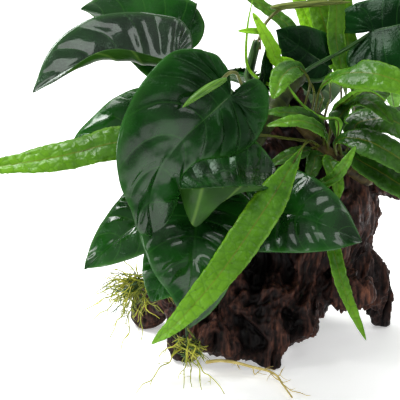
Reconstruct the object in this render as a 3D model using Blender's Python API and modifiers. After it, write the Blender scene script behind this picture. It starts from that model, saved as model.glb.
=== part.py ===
"""Broad-leaved anubias and java fern grown on a dark bogwood stump.

Metres, +Z up, +X to the right of the front, -Y toward the front. Z = 0 is the surface the stump stands on,
and the origin is the middle of the stump's heel. Inside this file lengths are millimetres, turned to metres
when a mesh is made.
"""

import math

import bmesh
import bpy
import numpy as np
from mathutils import Vector, noise

MM = 0.001
GAP = 0.35  # clearance left between touching pieces

# Anubias
BLADE_THICKNESS = 0.9
BLADE_VEINS = 7  # rows of the blade grid, each along a side vein
BLADE_COLUMNS = 2  # columns on each side of the midrib
PETIOLE_RADIUS = 1.3
ANUBIAS_RHIZOME = [(16, 10, 178), (8, -8, 173), (-2, -23, 161), (-17, -35, 141), (-31, -45, 116), (-45, -51, 90),
                   (-58, -52, 62)]
ANUBIAS_RHIZOME_RADIUS = 6.0

# Java fern
FROND_THICKNESS = 0.6
FROND_ROWS = 7
STIPE_HALF_WIDTH = 0.9
FERN_RHIZOME = [(10, -15, 160), (18, -21, 150), (28, -25, 140), (39, -27, 131), (51, -27, 122), (62, -22, 114)]
FERN_RHIZOME_RADIUS = 3.6

# Heart outline of an anubias blade: (along / length, half width / greatest half width), notch to tip
HEART = [(0, 0), (-0.09, 0.05), (-0.23, 0.2), (-0.3, 0.44), (-0.28, 0.7), (-0.16, 0.92), (0.03, 1), (0.24, 0.97),
         (0.44, 0.86), (0.63, 0.68), (0.79, 0.45), (0.91, 0.2), (1, 0)]

# Stump and its main forks: stations (x, y, z, half width, half depth), top to bottom or root to tip
WOOD = {
    "wood_trunk": [(15, 2, 175, 9, 8), (14, 0, 160, 18, 15), (16, 2, 142, 27, 20), (20, 3, 124, 36, 26),
                   (22, 2, 105, 45, 31), (20, 1, 88, 46, 34), (18, 0, 70, 48, 35), (20, -3, 52, 50, 34),
                   (26, -4, 34, 44, 30), (31, -4, 15, 36, 24)],
    "wood_shoulder_left": [(6, -2, 150, 18, 17), (-10, -14, 126, 20, 19), (-24, -24, 100, 21, 19),
                           (-38, -28, 74, 20, 18), (-50, -24, 46, 18, 17)],
    "wood_arm_right": [(40, 8, 116, 15, 16), (64, 12, 112, 15, 16), (88, 12, 107, 12, 13), (106, 10, 103, 8, 8)],
    "wood_leg_front": [(0, -12, 64, 38, 18), (-3, -29, 45, 38, 18), (-4, -37, 31, 36, 16), (-4, -43, 18, 31, 14),
                       (-2, -49, 7, 16, 10), (0, -53, -8, 7, 7)],
    "wood_leg_right": [(40, 2, 78, 17, 17), (54, 6, 50, 16, 17), (73, 16, 24, 15, 14), (79, 23, -8, 11, 11)],
    "wood_leg_left_front": [(-46, -28, 58, 14, 14), (-52, -33, 36, 14, 13), (-56, -36, 14, 13, 12), (-57, -36, -8, 12, 11)],
    "wood_leg_left": [(-44, -18, 56, 13, 13), (-64, 0, 36, 14, 13), (-80, 16, 18, 13, 13), (-86, 22, -8, 12, 12)],
    "wood_leg_back": [(14, 14, 78, 20, 18), (12, 34, 48, 18, 16), (10, 48, 22, 15, 14), (8, 56, -8, 12, 12)],
    "wood_heel": [(10, -2, 50, 22, 18), (5, -1, 28, 18, 15), (0, 0, 6, 15, 12), (0, 0, -8, 14, 12)],
}

# Anubias leaves: midrib points (the first lies behind the notch, the second is the notch, the last the tip),
# the way the blade faces at the notch and at the tip, half widths left and right of the midrib, bend of each
# side (lobe, middle, tip; radians, minus is downward), rise of each side at the midrib, lobe length, where on
# the rhizome the petiole starts, and the points that the petiole passes. A blade with an uneven outline has
# its own, left and right, in place of HEART and lobe lengths.
LEAVES = {
    "anubias_leaf_01": dict(
        midrib=[(-26, -67, 186), (-29, -72, 184), (-44, -88, 174), (-59, -97, 162), (-70, -100, 147), (-76, -100, 127),
                (-74, -94, 103)],
        faces=[(0.25, -0.95, 0.2), (0.5, -0.8, 0.3)], widths=(40, 36), bend=[(-0.8, -0.5, -1.3), (-0.2, -1.0, -1.1)],
        rise=[(0, 0.25, 0.3), (0.1, 0, 0.2)], node=0.47, petiole=[(-24, -60, 170)],
        outline=[[(0, 0), (-0.06, 0.15), (-0.1, 0.35), (-0.09, 0.6), (0, 0.86), (0.12, 1.05), (0.26, 1.08), (0.4, 0.99),
                  (0.54, 0.82), (0.68, 0.58), (0.78, 0.36), (0.9, 0.28), (1, 0)],
                 [(0, 0), (-0.13, 0.02), (-0.25, 0.14), (-0.26, 0.42), (-0.15, 0.75), (0, 0.97), (0.14, 0.96),
                  (0.26, 0.74), (0.36, 0.54), (0.48, 0.42), (0.62, 0.42), (0.76, 0.6), (0.88, 0.55), (1, 0)]]),
    "anubias_leaf_02": dict(
        midrib=[(-58, -14, 188), (-62, -16, 189), (-79, -25, 194), (-101, -34, 199), (-122, -45, 196), (-147, -60, 183)],
        faces=[(-0.1, -0.5, 0.8), (-0.3, -0.5, 0.8)], widths=(32, 20), bend=[(-0.2, -0.2, -0.3), (-0.6, 1.9, 1.9)],
        rise=[(0.6, 0.6, 0.4), (0, 0.2, 0.2)], lobes=(0.4, 0.5), node=0.33, petiole=[(-50, -6, 180), (-26, -16, 160)]),
    "anubias_leaf_03": dict(
        midrib=[(-56, 20, 188), (-61, 18, 191), (-79, 16, 203), (-99, 13, 213), (-122, 5, 221)],
        faces=[(0.1, -0.8, 0.6), (-0.4, -0.4, 0.8)], widths=(38, 27), bend=[(-0.5, -0.7, -0.8), (-0.5, -0.7, -0.8)],
        rise=[(0.2, 0.2, 0.2), (0.2, 0.2, 0.2)], lobes=(0.7, 0.7), node=0.27, petiole=[(-41, 22, 178), (-20, 3, 161)]),
    "anubias_leaf_04": dict(
        midrib=[(-58, -40, 166), (-63, -41, 165), (-87, -46, 161), (-111, -52, 150), (-132, -55, 134)],
        faces=[(0.1, -0.7, 0.7), (-0.4, -0.6, 0.7)], widths=(24, 20), bend=[(-0.6, -0.7, -0.7), (-0.6, -0.7, -0.7)],
        rise=[(0.2, 0.2, 0.2), (0.2, 0.2, 0.2)], lobes=(0.8, 0.8), node=0.42, petiole=[(-42, -34, 156)]),
    "anubias_leaf_05": dict(
        midrib=[(-61, -58, 119), (-65, -63, 117), (-83, -78, 108), (-101, -84, 95), (-117, -83, 79)],
        faces=[(-0.2, -0.8, 0.6), (-0.3, -0.6, 0.7)], widths=(23, 24), bend=[(-0.5, -0.6, -0.7), (-0.5, -0.6, -0.7)],
        rise=[(0.2, 0.2, 0.2), (0.2, 0.2, 0.2)], lobes=(0.8, 0.8), node=0.76, petiole=[(-54, -54, 110)]),
    "anubias_leaf_06": dict(
        midrib=[(-45, -62, 125), (-46, -68, 121), (-49, -86, 109), (-51, -98, 92), (-54, -102, 73), (-59, -102, 59)],
        faces=[(0.1, -0.8, 0.6), (0.1, -0.9, 0.5)], widths=(38, 31), bend=[(-0.6, -0.6, -0.7), (-0.6, -0.6, -0.7)],
        rise=[(0.2, 0.2, 0.2), (0.2, 0.2, 0.2)], lobes=(0.45, 0.35), node=0.68, petiole=[(-40, -57, 118)]),
    "anubias_leaf_07": dict(
        midrib=[(-27, -50, 144), (-28, -53, 141), (-29, -72, 139), (-30, -95, 139), (-32, -114, 139)],
        faces=[(0, -0.1, 1), (0, 0.1, 1)], widths=(31, 29), bend=[(-0.7, -1.0, -1.1), (-0.7, -1.0, -1.1)],
        rise=[(0.1, 0.1, 0.1), (0.1, 0.1, 0.1)], lobes=(0.9, 0.9), node=0.58, petiole=[(-25, -47, 134)]),
    "anubias_leaf_08": dict(
        midrib=[(-35, -77, 129), (-37, -80, 127), (-43, -90, 121), (-49, -103, 113)],
        faces=[(0.2, 1, 0), (0.2, 1, 0)], widths=(14, 14), bend=[(0.4, 0.4, 0.4), (0.4, 0.4, 0.4)],
        rise=[(0, 0, 0), (0, 0, 0)], lobes=(0.3, 0.3), node=0.63, petiole=[(-30, -62, 129)]),
    "anubias_leaf_09": dict(
        midrib=[(-15, -60, 112), (-11, -64, 112), (7, -78, 113), (27, -84, 108), (50, -84, 97)],
        faces=[(0.1, -0.8, 0.5), (0.3, -0.8, 0.5)], widths=(28, 30), bend=[(-0.6, -0.6, -0.7), (-0.6, -0.6, -0.7)],
        rise=[(0.2, 0.2, 0.2), (0.2, 0.2, 0.2)], lobes=(0.9, 0.9), node=0.66, petiole=[(-16, -54, 113), (-24, -46, 116)]),
    "anubias_leaf_10": dict(
        midrib=[(40, 32, 175), (36, 31, 178), (20, 29, 190), (2, 26, 203)],
        faces=[(0.1, -0.8, 0.6), (-0.2, -0.8, 0.6)], widths=(20, 23), bend=[(-0.4, -0.5, -0.6), (-0.4, -0.3, -0.4)],
        rise=[(0.1, 0.1, 0.1), (0.1, 0.1, 0.1)], lobes=(0.3, 0.3), node=0.04, petiole=[(38, 29, 173), (28, 14, 172)]),
    "anubias_leaf_11": dict(
        midrib=[(60, 37, 198), (65, 36, 200), (84, 31, 206), (108, 33, 211), (134, 45, 209)],
        faces=[(0, -0.7, 0.7), (0.3, -0.8, 0.6)], widths=(37, 24), bend=[(-0.5, -0.6, -0.7), (-0.5, -0.6, -0.7)],
        rise=[(0.3, 0.25, 0.2), (0.3, 0.25, 0.2)], lobes=(0.9, 1.0), node=0.09, petiole=[(46, 24, 190), (24, 6, 183)]),
    "anubias_leaf_12": dict(
        midrib=[(-36, -54, 93), (-37, -58, 88), (-40, -69, 76), (-45, -77, 59), (-53, -79, 39)],
        faces=[(0.2, -0.9, 0.4), (0.3, -0.9, 0.2)], widths=(18, 17), bend=[(-0.6, -0.7, -0.7), (-0.6, -0.7, -0.7)],
        rise=[(0.2, 0.2, 0.2), (0.2, 0.2, 0.2)], lobes=(0.4, 0.4), node=0.82, petiole=[(-38, -54, 88)]),
    "anubias_leaf_13": dict(
        midrib=[(-58, -62, 90), (-60, -66, 87), (-67, -75, 76), (-77, -78, 56)],
        faces=[(-0.1, -0.9, 0.5), (-0.2, -0.8, 0.6)], widths=(20, 20), bend=[(-0.5, -0.6, -0.7), (-0.5, -0.6, -0.7)],
        rise=[(0.2, 0.2, 0.2), (0.2, 0.2, 0.2)], lobes=(0.3, 0.3), node=0.9, petiole=[(-57, -60, 86)]),
    "anubias_leaf_14": dict(
        midrib=[(-7, -2, 169), (-7, 0, 172), (-5, 5, 184), (-4, 10, 197)],
        faces=[(0.8, -0.6, 0.1), (0.8, -0.6, 0.1)], widths=(8, 8), bend=[(0.3, 0.3, 0.3), (0.3, 0.3, 0.3)],
        rise=[(0.1, 0.1, 0.1), (0.1, 0.1, 0.1)], lobes=(0.2, 0.2), node=0.2, petiole=[(-6, -8, 168)]),
    "anubias_leaf_15": dict(
        midrib=[(-34, 46, 170), (-37, 50, 170), (-54, 66, 164), (-72, 80, 148), (-84, 88, 128)],
        faces=[(-0.2, 0.5, 0.8), (-0.6, 0.6, 0.5)], widths=(34, 34), bend=[(-0.6, -0.8, -0.8), (-0.6, -0.8, -0.8)],
        rise=[(0.2, 0.2, 0.2), (0.2, 0.2, 0.2)], lobes=(0.8, 0.8), node=0.06, petiole=[(-22, 38, 166), (-4, 25, 163)]),
    "anubias_leaf_16": dict(
        midrib=[(18, 56, 163), (20, 60, 163), (28, 80, 159), (33, 98, 144), (36, 108, 123)],
        faces=[(0.1, 0.5, 0.9), (0.2, 0.8, 0.5)], widths=(28, 28), bend=[(-0.6, -0.8, -0.8), (-0.6, -0.8, -0.8)],
        rise=[(0.2, 0.2, 0.2), (0.2, 0.2, 0.2)], lobes=(0.5, 0.5), node=0.02, petiole=[(15, 48, 162), (14, 32, 161), (14, 21, 167)]),
}

# Fern fronds: spine points from where the stipe leaves the rhizome to the tip, the way the frond faces at each
# end, half width, share of the length that is stipe, and where on the rhizome it starts.
FRONDS = {
    "fern_frond_01": dict(spine=[(6, -40, 149), (-10, -51, 154), (-28, -57, 154), (-56, -62, 153), (-92, -71, 156),
                                 (-130, -79, 149), (-180, -82, 141)],
                          faces=[(0, -0.7, 0.7), (-0.1, -0.7, 0.7)], width=11.5, stipe=0.3, node=0.35),
    "fern_frond_02": dict(spine=[(19, -44, 148), (8, -73, 142), (-9, -104, 125), (-33, -128, 97), (-56, -138, 72),
                                 (-75, -136, 53)],
                          faces=[(0.3, -0.6, 0.7), (0.1, -0.8, 0.6)], width=10.4, stipe=0.12, node=0.42),
    "fern_frond_03": dict(spine=[(30, -50, 112), (35, -71, 85), (41, -80, 64), (54, -89, 35)],
                          faces=[(-0.2, -0.8, 0.6), (0.2, -0.7, 0.7)], width=4.6, stipe=0.25, node=0.62),
    "fern_frond_04": dict(spine=[(21, -44, 128), (24, -54, 125), (33, -62, 130), (40, -66, 140), (47, -60, 150)],
                          faces=[(0, -0.6, 0.8), (0.2, -0.8, 0.6)], width=4.2, stipe=0.3, node=0.52),
    "fern_frond_05": dict(spine=[(33, -46, 137), (35, -54, 131), (37, -58, 124), (37, -60, 115)],
                          faces=[(0.1, -0.8, 0.6), (0, -0.9, 0.5)], width=5.4, stipe=0.1, node=0.6),
    "fern_frond_06": dict(spine=[(20, -14, 168), (22, -4, 177), (14, -10, 187), (4, -29, 186), (-3, -45, 175)],
                          faces=[(-0.3, -0.8, 0.5), (0.1, -0.7, 0.7)], width=8.4, stipe=0.35, node=0.12),
    "fern_frond_07": dict(spine=[(28, -36, 154), (17, -40, 163), (7, -42, 166), (-8, -42, 166)],
                          faces=[(0, -0.7, 0.7), (0, -0.6, 0.8)], width=6, stipe=0.1, node=0.45),
    "fern_frond_08": dict(spine=[(30, -40, 152), (22, -48, 160), (12, -50, 163), (1, -52, 162), (-7, -52, 160)],
                          faces=[(0, -0.7, 0.7), (-0.1, -0.7, 0.7)], width=4.8, stipe=0.1, node=0.5),
    "fern_frond_09": dict(spine=[(39, -28, 157), (29, -28, 159), (19, -27, 165), (12, -27, 172), (7, -28, 180)],
                          faces=[(0, 0.5, 0.9), (0.2, 0.3, 0.9)], width=3.6, stipe=0.1, node=0.55),
    "fern_frond_10": dict(spine=[(26, -16, 164), (28, -18, 175), (35, -24, 184), (45, -38, 190), (59, -46, 191),
                                 (76, -50, 186), (104, -48, 171)],
                          faces=[(0, -0.6, 0.8), (0, -0.5, 0.9)], width=12.5, stipe=0.2, node=0.3),
    "fern_frond_11": dict(spine=[(39, -20, 153), (46, -24, 165), (53, -32, 172), (62, -40, 169), (71, -44, 159)],
                          faces=[(0, -0.4, 0.9), (0.2, -0.5, 0.8)], width=9.4, stipe=0.12, node=0.66),
    "fern_frond_12": dict(spine=[(50, -16, 148), (61, -20, 156), (73, -24, 156), (97, -25, 141)],
                          faces=[(0, -0.6, 0.8), (0.1, -0.6, 0.8)], width=12.5, stipe=0.15, node=0.86),
    "fern_frond_13": dict(spine=[(37, -34, 145), (46, -42, 150), (59, -52, 149), (75, -60, 141), (101, -64, 122)],
                          faces=[(0, -0.6, 0.8), (0.1, -0.7, 0.7)], width=10.5, stipe=0.05, node=0.6),
    "fern_frond_14": dict(spine=[(43, -36, 139), (51, -44, 136), (64, -50, 130), (81, -54, 120), (107, -54, 103)],
                          faces=[(0, -0.6, 0.8), (0.1, -0.7, 0.7)], width=9.5, stipe=0.05, node=0.74),
    "fern_frond_15": dict(spine=[(14, -46, 142), (5, -50, 140), (-6, -53, 135)],
                          faces=[(0, -0.8, 0.6), (0, -0.8, 0.6)], width=4.6, stipe=0.14, node=0.4),
    "fern_frond_16": dict(spine=[(30, -4, 162), (32, 24, 162), (22, 54, 182), (12, 66, 198), (-7, 75, 211), (-29, 80, 226)],
                          faces=[(0.2, -0.8, 0.6), (0.2, -0.6, 0.7)], width=5.5, stipe=0.4, node=0.26),
    "fern_frond_17": dict(spine=[(25, -8, 166), (24, 16, 171), (15, 20, 182), (3, 7, 187), (-2, 6, 197), (-8, 6, 208),
                                 (-14, 8, 218)],
                          faces=[(0, -0.9, 0.5), (0, -0.9, 0.5)], width=4.8, stipe=0.46, node=0.22),
    "fern_frond_18": dict(spine=[(34, 0, 158), (38, 24, 160), (37, 44, 174), (27, 60, 197), (17, 70, 220), (10, 72, 241)],
                          faces=[(0.1, -0.9, 0.5), (0, -0.9, 0.5)], width=6, stipe=0.35, node=0.37),
    "fern_frond_19": dict(spine=[(41, -2, 153), (45, 22, 160), (44, 42, 176), (36, 54, 199), (30, 60, 221), (28, 62, 249)],
                          faces=[(0.1, -0.9, 0.5), (0, -0.9, 0.5)], width=8, stipe=0.35, node=0.45),
    "fern_frond_20": dict(spine=[(46, -8, 146), (47, 22, 168), (42, 36, 194), (42, 42, 219), (37, 44, 250)],
                          faces=[(0.1, -0.9, 0.5), (0, -0.9, 0.5)], width=6, stipe=0.3, node=0.55),
    "fern_frond_21": dict(spine=[(51, -3, 145), (53, 28, 169), (50, 48, 195), (49, 58, 213), (53, 64, 239)],
                          faces=[(0.1, -0.9, 0.5), (0, -0.9, 0.5)], width=6.5, stipe=0.3, node=0.64),
    "fern_frond_22": dict(spine=[(58, -6, 138), (84, 14, 152), (116, 30, 150), (142, 40, 130)],
                          faces=[(-0.2, -0.2, 0.9), (0.5, 0, 0.8)], width=9.5, stipe=0.25, node=0.92),
    "fern_frond_23": dict(spine=[(56, 10, 146), (70, 52, 160), (84, 86, 152), (92, 108, 126)],
                          faces=[(0, -0.3, 0.9), (0.3, 0.6, 0.7)], width=12, stipe=0.12, node=0.76),
    "fern_frond_24": dict(spine=[(70, -20, 128), (94, -10, 134), (122, 0, 122), (144, 6, 100)],
                          faces=[(0, 0, 1), (0.6, 0, 0.7)], width=8.5, stipe=0.2, node=0.98),
    "fern_frond_25": dict(spine=[(37, -14, 159), (44, -24, 170), (49, -38, 178), (58, -46, 180), (68, -50, 173)],
                          faces=[(0, 0.4, 0.9), (0.2, 0.3, 0.9)], width=3.4, stipe=0.12, node=0.48),
    "fern_frond_26": dict(spine=[(25, -38, 137), (23, -46, 134), (19, -52, 124)],
                          faces=[(0, -0.8, 0.6), (0, -0.8, 0.6)], width=5.6, stipe=0.12, node=0.53),
}

# Rolled new leaves: petiole points after the rhizome, then the rolled blade from its base to its tip
NEW_LEAVES = {
    "new_leaf_low": dict(node=0.3, petiole=[(-14, -43, 166), (-21, -57, 184), (-24, -62, 192), (-26, -70, 197),
                                            (-30, -78, 199), (-35, -85, 196)],
                         blade=[(-32, -84, 197), (-42, -90, 193), (-50, -96, 189), (-57, -100, 184)]),
    "new_leaf_top": dict(node=None, petiole=[(-9, 23, 197), (-7, 28, 202), (-3, 32, 208), (4, 34, 214), (11, 35, 216)],
                         blade=[(-1, 34, 216), (14, 36, 217), (34, 39, 218), (52, 42, 218)]),
}
SHEATH = [(3, 7, 175), (-8, 14, 169), (-15, 20, 171), (-14, 21, 181), (-10.5, 22, 196)]

# Root tufts as their outer shapes, and the one long root that runs over the floor
TUFTS = {
    "root_tuft_left": [(-62, -56, 58, 6, 5), (-76, -54, 48, 12, 7), (-92, -50, 34, 17, 8), (-106, -48, 18, 12, 5)],
    "root_tuft_front": [(-57, -54, 34, 5, 4), (-57, -58, 22, 10, 6), (-58, -64, 10, 14, 7), (-60, -68, -6, 12, 6)],
}
LONG_ROOT = [(-43, -60, 8), (-34, -60, 9), (-24, -61, 8), (-14, -63, 6), (-5, -66, 5), (1, -72, 4), (4, -82, 3),
             (9, -98, 1.6)]


def smooth_line(points, per=12):
    """Catmull-Rom line through the points."""
    p = np.asarray(points, float)
    p = np.vstack([2 * p[0] - p[1], p, 2 * p[-1] - p[-2]])
    t = np.linspace(0, 1, per, endpoint=False)[:, None]
    runs = []
    for a, b, c, d in zip(p[:-3], p[1:-2], p[2:-1], p[3:]):
        runs.append(0.5 * (2 * b + (c - a) * t + (2 * a - 5 * b + 4 * c - d) * t**2 + (3 * b - a - 3 * c + d) * t**3))
    return np.vstack(runs + [p[-2:-1]])


class Spine:
    """A line by distance from its start, with a normal that turns from one facing to the other."""

    def __init__(self, points, faces, lead=0):
        self.line = smooth_line(points)
        steps = np.linalg.norm(np.diff(self.line, axis=0), axis=1)
        self.run = np.concatenate([[0], np.cumsum(steps)])
        self.zero = self.run[12 * lead]
        self.length = self.run[-1] - self.zero
        self.along = np.gradient(self.line, axis=0)
        self.along /= np.linalg.norm(self.along, axis=1)[:, None]
        share = np.clip((self.run - self.zero) / self.length, 0, 1)[:, None]
        up = np.asarray(faces[0], float) * (1 - share) + np.asarray(faces[1], float) * share
        up -= (up * self.along).sum(1)[:, None] * self.along
        self.up = up / np.linalg.norm(up, axis=1)[:, None]
        self.across = np.cross(self.along, self.up)

    def read(self, table, distance):
        s = np.clip(distance + self.zero, 0, self.run[-1])
        return np.array([np.interp(s, self.run, table[:, k]) for k in range(3)])

    def point(self, distance, across=0.0, up=0.0):
        over = distance + self.zero - np.clip(distance + self.zero, 0, self.run[-1])
        middle = self.read(self.line, distance) + over * self.read(self.along, distance)
        return middle + across * self.read(self.across, distance) + up * self.read(self.up, distance)


def curl(share, start, bend):
    """Reach and rise of a strip that leaves at an angle and bends evenly, at a share of its width."""
    if abs(bend) < 1e-3:
        bend = 1e-3
    angle = start + bend * share
    return (math.sin(angle) - math.sin(start)) / bend, (math.cos(start) - math.cos(angle)) / bend


def blend(three, w):
    """Parabola through the values at the lobe, the middle and the tip."""
    return three[0] * (1 - w) * (1 - 2 * w) + 4 * three[1] * w * (1 - w) + three[2] * w * (2 * w - 1)


def heart(t, outline, lobe):
    """Outline point at t = 0 (notch) to 1 (tip)."""
    line = smooth_line(outline, 10)
    u = np.linspace(0, 1, len(line))
    x = float(np.interp(t, u, line[:, 0]))
    return (x * lobe if x < 0 else x), max(0.0, float(np.interp(t, u, line[:, 1])))


def blade_point(leaf, spine, row, column):
    """Point of an anubias blade: row runs along the side veins from notch to tip, column -1..1 across."""
    side = 0 if column >= 0 else 1
    r = abs(column)
    if "outline" in leaf:
        rim_x, rim_y = heart(row, leaf["outline"][side], 1)
    else:
        rim_x, rim_y = heart(row, HEART, leaf["lobes"][side])
    rib_x = max(0.0, (row - 0.36) / 0.64) ** 1.15
    mid_x, mid_y = rib_x + (rim_x - rib_x) * 0.35, rim_y * 0.55
    x = rib_x * (1 - r) ** 2 + 2 * mid_x * r * (1 - r) + rim_x * r**2
    y = 2 * mid_y * r * (1 - r) + rim_y * r**2
    w = min(1.0, max(0.0, (x + 0.3) / 1.3))
    reach, rise = curl(y, blend(leaf["rise"][side], w), blend(leaf["bend"][side], w))
    width = leaf["widths"][side]
    return spine.point(x * spine.length, (1 - 2 * side) * reach * width, rise * width)


def frond_point(frond, spine, row, column):
    """Point of a fern frond: a narrow stipe that widens to a lance-shaped blade, slightly gutter-shaped."""
    t = max(0.0, (row - frond["stipe"]) / (1 - frond["stipe"]))
    rise = min(1.0, t / 0.42)
    fall = min(1.0, max(0.0, (t - 0.42) / 0.58))
    body = rise**2 * (3 - 2 * rise) if t < 0.42 else (1 - fall**2) ** 0.7
    half = max(frond["width"] * body, STIPE_HALF_WIDTH * (1 - max(0.0, (row - 0.8) / 0.2)))
    reach, lift = curl(abs(column), 0.15, -0.5 * half / frond["width"])
    return spine.point(row * spine.length, math.copysign(reach, column) * half, lift * half)


def clear_scene():
    for obj in list(bpy.data.objects):
        bpy.data.objects.remove(obj, do_unlink=True)


def make_collection(name):
    collection = bpy.data.collections.new(name)
    bpy.context.scene.collection.children.link(collection)
    return collection


def make_material(name, colour, roughness):
    material = bpy.data.materials.new(name)
    material.use_nodes = True
    shader = material.node_tree.nodes["Principled BSDF"]
    shader.inputs["Base Color"].default_value = (*colour, 1)
    shader.inputs["Roughness"].default_value = roughness
    shader.inputs["Metallic"].default_value = 0
    material.diffuse_color = (*colour, 1)
    return material


def to_object(bm, name, collection, look=None):
    """Mesh object in metres from a bmesh in millimetres, with its own copy of the material."""
    bmesh.ops.scale(bm, vec=(MM, MM, MM), verts=bm.verts)
    mesh = bpy.data.meshes.new(name)
    bm.to_mesh(mesh)
    bm.free()
    obj = bpy.data.objects.new(name, mesh)
    collection.objects.link(obj)
    if look:
        mesh.materials.append(make_material(name, *look))
        mesh.shade_smooth()
        mesh.set_sharp_from_angle(angle=math.radians(50))
    return obj


def sheet(rows, columns, place):
    """A grid whose points are placed by row (0..1) and column (-1..1)."""
    bm = bmesh.new()
    bmesh.ops.create_grid(bm, x_segments=2 * columns, y_segments=rows, size=1)
    for vert in bm.verts:
        vert.co = Vector(place((vert.co.y + 1) / 2, round(vert.co.x, 4)))
    bmesh.ops.remove_doubles(bm, verts=bm.verts, dist=0.001)
    bmesh.ops.dissolve_degenerate(bm, edges=bm.edges, dist=0.001)
    return bm


def thicken(obj, thickness):
    modifier = obj.modifiers.new("Thickness", "SOLIDIFY")
    modifier.thickness = thickness * MM
    modifier.offset = -1


def boolean(obj, other, operation):
    modifier = obj.modifiers.new(other.name, "BOOLEAN")
    modifier.object = other
    modifier.operation = operation
    modifier.solver = "EXACT"


def helper(obj):
    obj.hide_render = True
    obj.display_type = "WIRE"
    return obj


def tube_curve(name, points, radii, collection, look=None, resolution=1):
    """Round tube along the points, with its own radius at each."""
    curve = bpy.data.curves.new(name, "CURVE")
    curve.dimensions = "3D"
    curve.bevel_depth = MM
    curve.bevel_resolution = resolution
    curve.use_fill_caps = True
    spline = curve.splines.new("POLY")
    spline.points.add(len(points) - 1)
    for place, position, radius in zip(spline.points, points, radii):
        place.co = (*(Vector(position) * MM), 1)
        place.radius = radius
    obj = bpy.data.objects.new(name, curve)
    collection.objects.link(obj)
    if look:
        curve.materials.append(make_material(name, *look))
    return obj


def tube_mesh(name, points, radii, collection, look=None, resolution=1):
    """The same tube as a closed mesh, for a Boolean."""
    curve = tube_curve(name + "_curve", points, radii, collection, None, resolution)
    bpy.context.view_layer.update()
    graph = bpy.context.evaluated_depsgraph_get()
    bm = bmesh.new()
    bm.from_mesh(bpy.data.meshes.new_from_object(curve.evaluated_get(graph)))
    bpy.data.objects.remove(curve, do_unlink=True)
    bmesh.ops.remove_doubles(bm, verts=bm.verts, dist=1e-6)
    bmesh.ops.recalc_face_normals(bm, faces=bm.faces)
    bmesh.ops.scale(bm, vec=(1 / MM, 1 / MM, 1 / MM), verts=bm.verts)
    return to_object(bm, name, collection, look)


def limb(stations, sides=14, rings=8, rough=0.16, grow=0.0, floor=None):
    """A gnarled limb from a ball whose rings are carried along the stations, cut flat at the floor."""
    stations = np.asarray(stations, float)
    line = smooth_line(stations, 8)
    share = np.linspace(0, 1, len(line))
    bm = bmesh.new()
    bmesh.ops.create_uvsphere(bm, u_segments=sides, v_segments=rings, radius=1)
    for vert in bm.verts:
        polar = math.acos(max(-1.0, min(1.0, vert.co.z))) / math.pi
        turn = math.atan2(vert.co.y, vert.co.x)
        here = np.array([np.interp(polar, share, line[:, k]) for k in range(5)])
        ahead = np.array([np.interp(min(1, polar + 0.02), share, line[:, k]) for k in range(3)])
        behind = np.array([np.interp(max(0, polar - 0.02), share, line[:, k]) for k in range(3)])
        along = Vector(ahead - behind).normalized()
        across = along.cross(Vector((0, 1, 0))).normalized()
        depth = across.cross(along)
        round_end = math.sin(math.pi * polar) ** 0.35 if 0.001 < polar < 0.999 else 0.0
        ridges = 0.09 * math.cos(5 * turn + 9 * polar) + 0.06 * math.cos(9 * turn - 5 * polar)
        lumps = rough * noise.noise(Vector(here[:3]) * 0.045 + Vector((math.cos(turn), math.sin(turn), 0)) * 0.9)
        scale = round_end * (1 + ridges + lumps)
        offset = across * (here[3] * scale + grow * round_end) * math.cos(turn)
        offset += depth * (here[4] * scale + grow * round_end) * math.sin(turn)
        tip = along * grow * (2 * polar - 1)
        vert.co = Vector(here[:3]) + offset + tip
    bmesh.ops.triangulate(bm, faces=bm.faces, quad_method="FIXED")
    bmesh.ops.recalc_face_normals(bm, faces=bm.faces)
    if floor is not None:
        plane = bmesh.ops.bisect_plane(bm, geom=bm.verts[:] + bm.edges[:] + bm.faces[:], plane_co=(0, 0, floor),
                                       plane_no=(0, 0, -1), clear_outer=True)
        rim = [part for part in plane["geom_cut"] if isinstance(part, bmesh.types.BMEdge)]
        bmesh.ops.contextual_create(bm, geom=rim)
        bmesh.ops.recalc_face_normals(bm, faces=bm.faces)
    return bm


def build_wood(parts, cutters):
    """Trunk first, then each fork cut back from what it grows out of. Returns the grown cutters."""
    looks = ((0.045, 0.026, 0.018), 0.55)
    grown = {}
    joins = {
        "wood_trunk": [],
        "wood_shoulder_left": ["wood_trunk"],
        "wood_arm_right": ["wood_trunk"],
        "wood_leg_front": ["wood_trunk", "wood_shoulder_left"],
        "wood_leg_right": ["wood_trunk"],
        "wood_leg_left_front": ["wood_shoulder_left", "wood_leg_front"],
        "wood_leg_left": ["wood_shoulder_left", "wood_leg_left_front"],
        "wood_leg_back": ["wood_trunk"],
        "wood_heel": ["wood_trunk", "wood_leg_front", "wood_leg_back"],
    }
    for name, stations in WOOD.items():
        trunk = name == "wood_trunk"
        size = dict(sides=20 if trunk else 12, rings=13 if trunk else 9)
        floor = 0 if "leg" in name or name == "wood_heel" else None
        obj = to_object(limb(stations, floor=floor, **size), name, parts, looks)
        cutter = limb(stations, grow=GAP + 0.15, **size)
        grown[name] = helper(to_object(cutter, name + "_grown", cutters))
        for other in joins[name]:
            boolean(obj, grown[other], "DIFFERENCE")
    return grown


def rhizome(name, path, radius, parts, cutters, look, wood):
    """Creeping stem along the wood, knotted where leaves leave it, and cut back where it beds on the wood."""
    line = smooth_line(path, 2)
    radii = [radius * (1 + 0.12 * math.cos(2.4 * k)) * (0.6 if k in (0, len(line) - 1) else 1) for k in range(len(line))]
    obj = tube_mesh(name, line, radii, parts, look, 2)
    for cutter in wood:
        boolean(obj, cutter, "DIFFERENCE")
    return helper(tube_mesh(name + "_grown", line, [r + GAP for r in radii], cutters, None, 2))


def on_path(path, share):
    line = smooth_line(path)
    run = np.concatenate([[0], np.cumsum(np.linalg.norm(np.diff(line, axis=0), axis=1))])
    return tuple(np.interp(share * run[-1], run, line[:, k]) for k in range(3))


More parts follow.
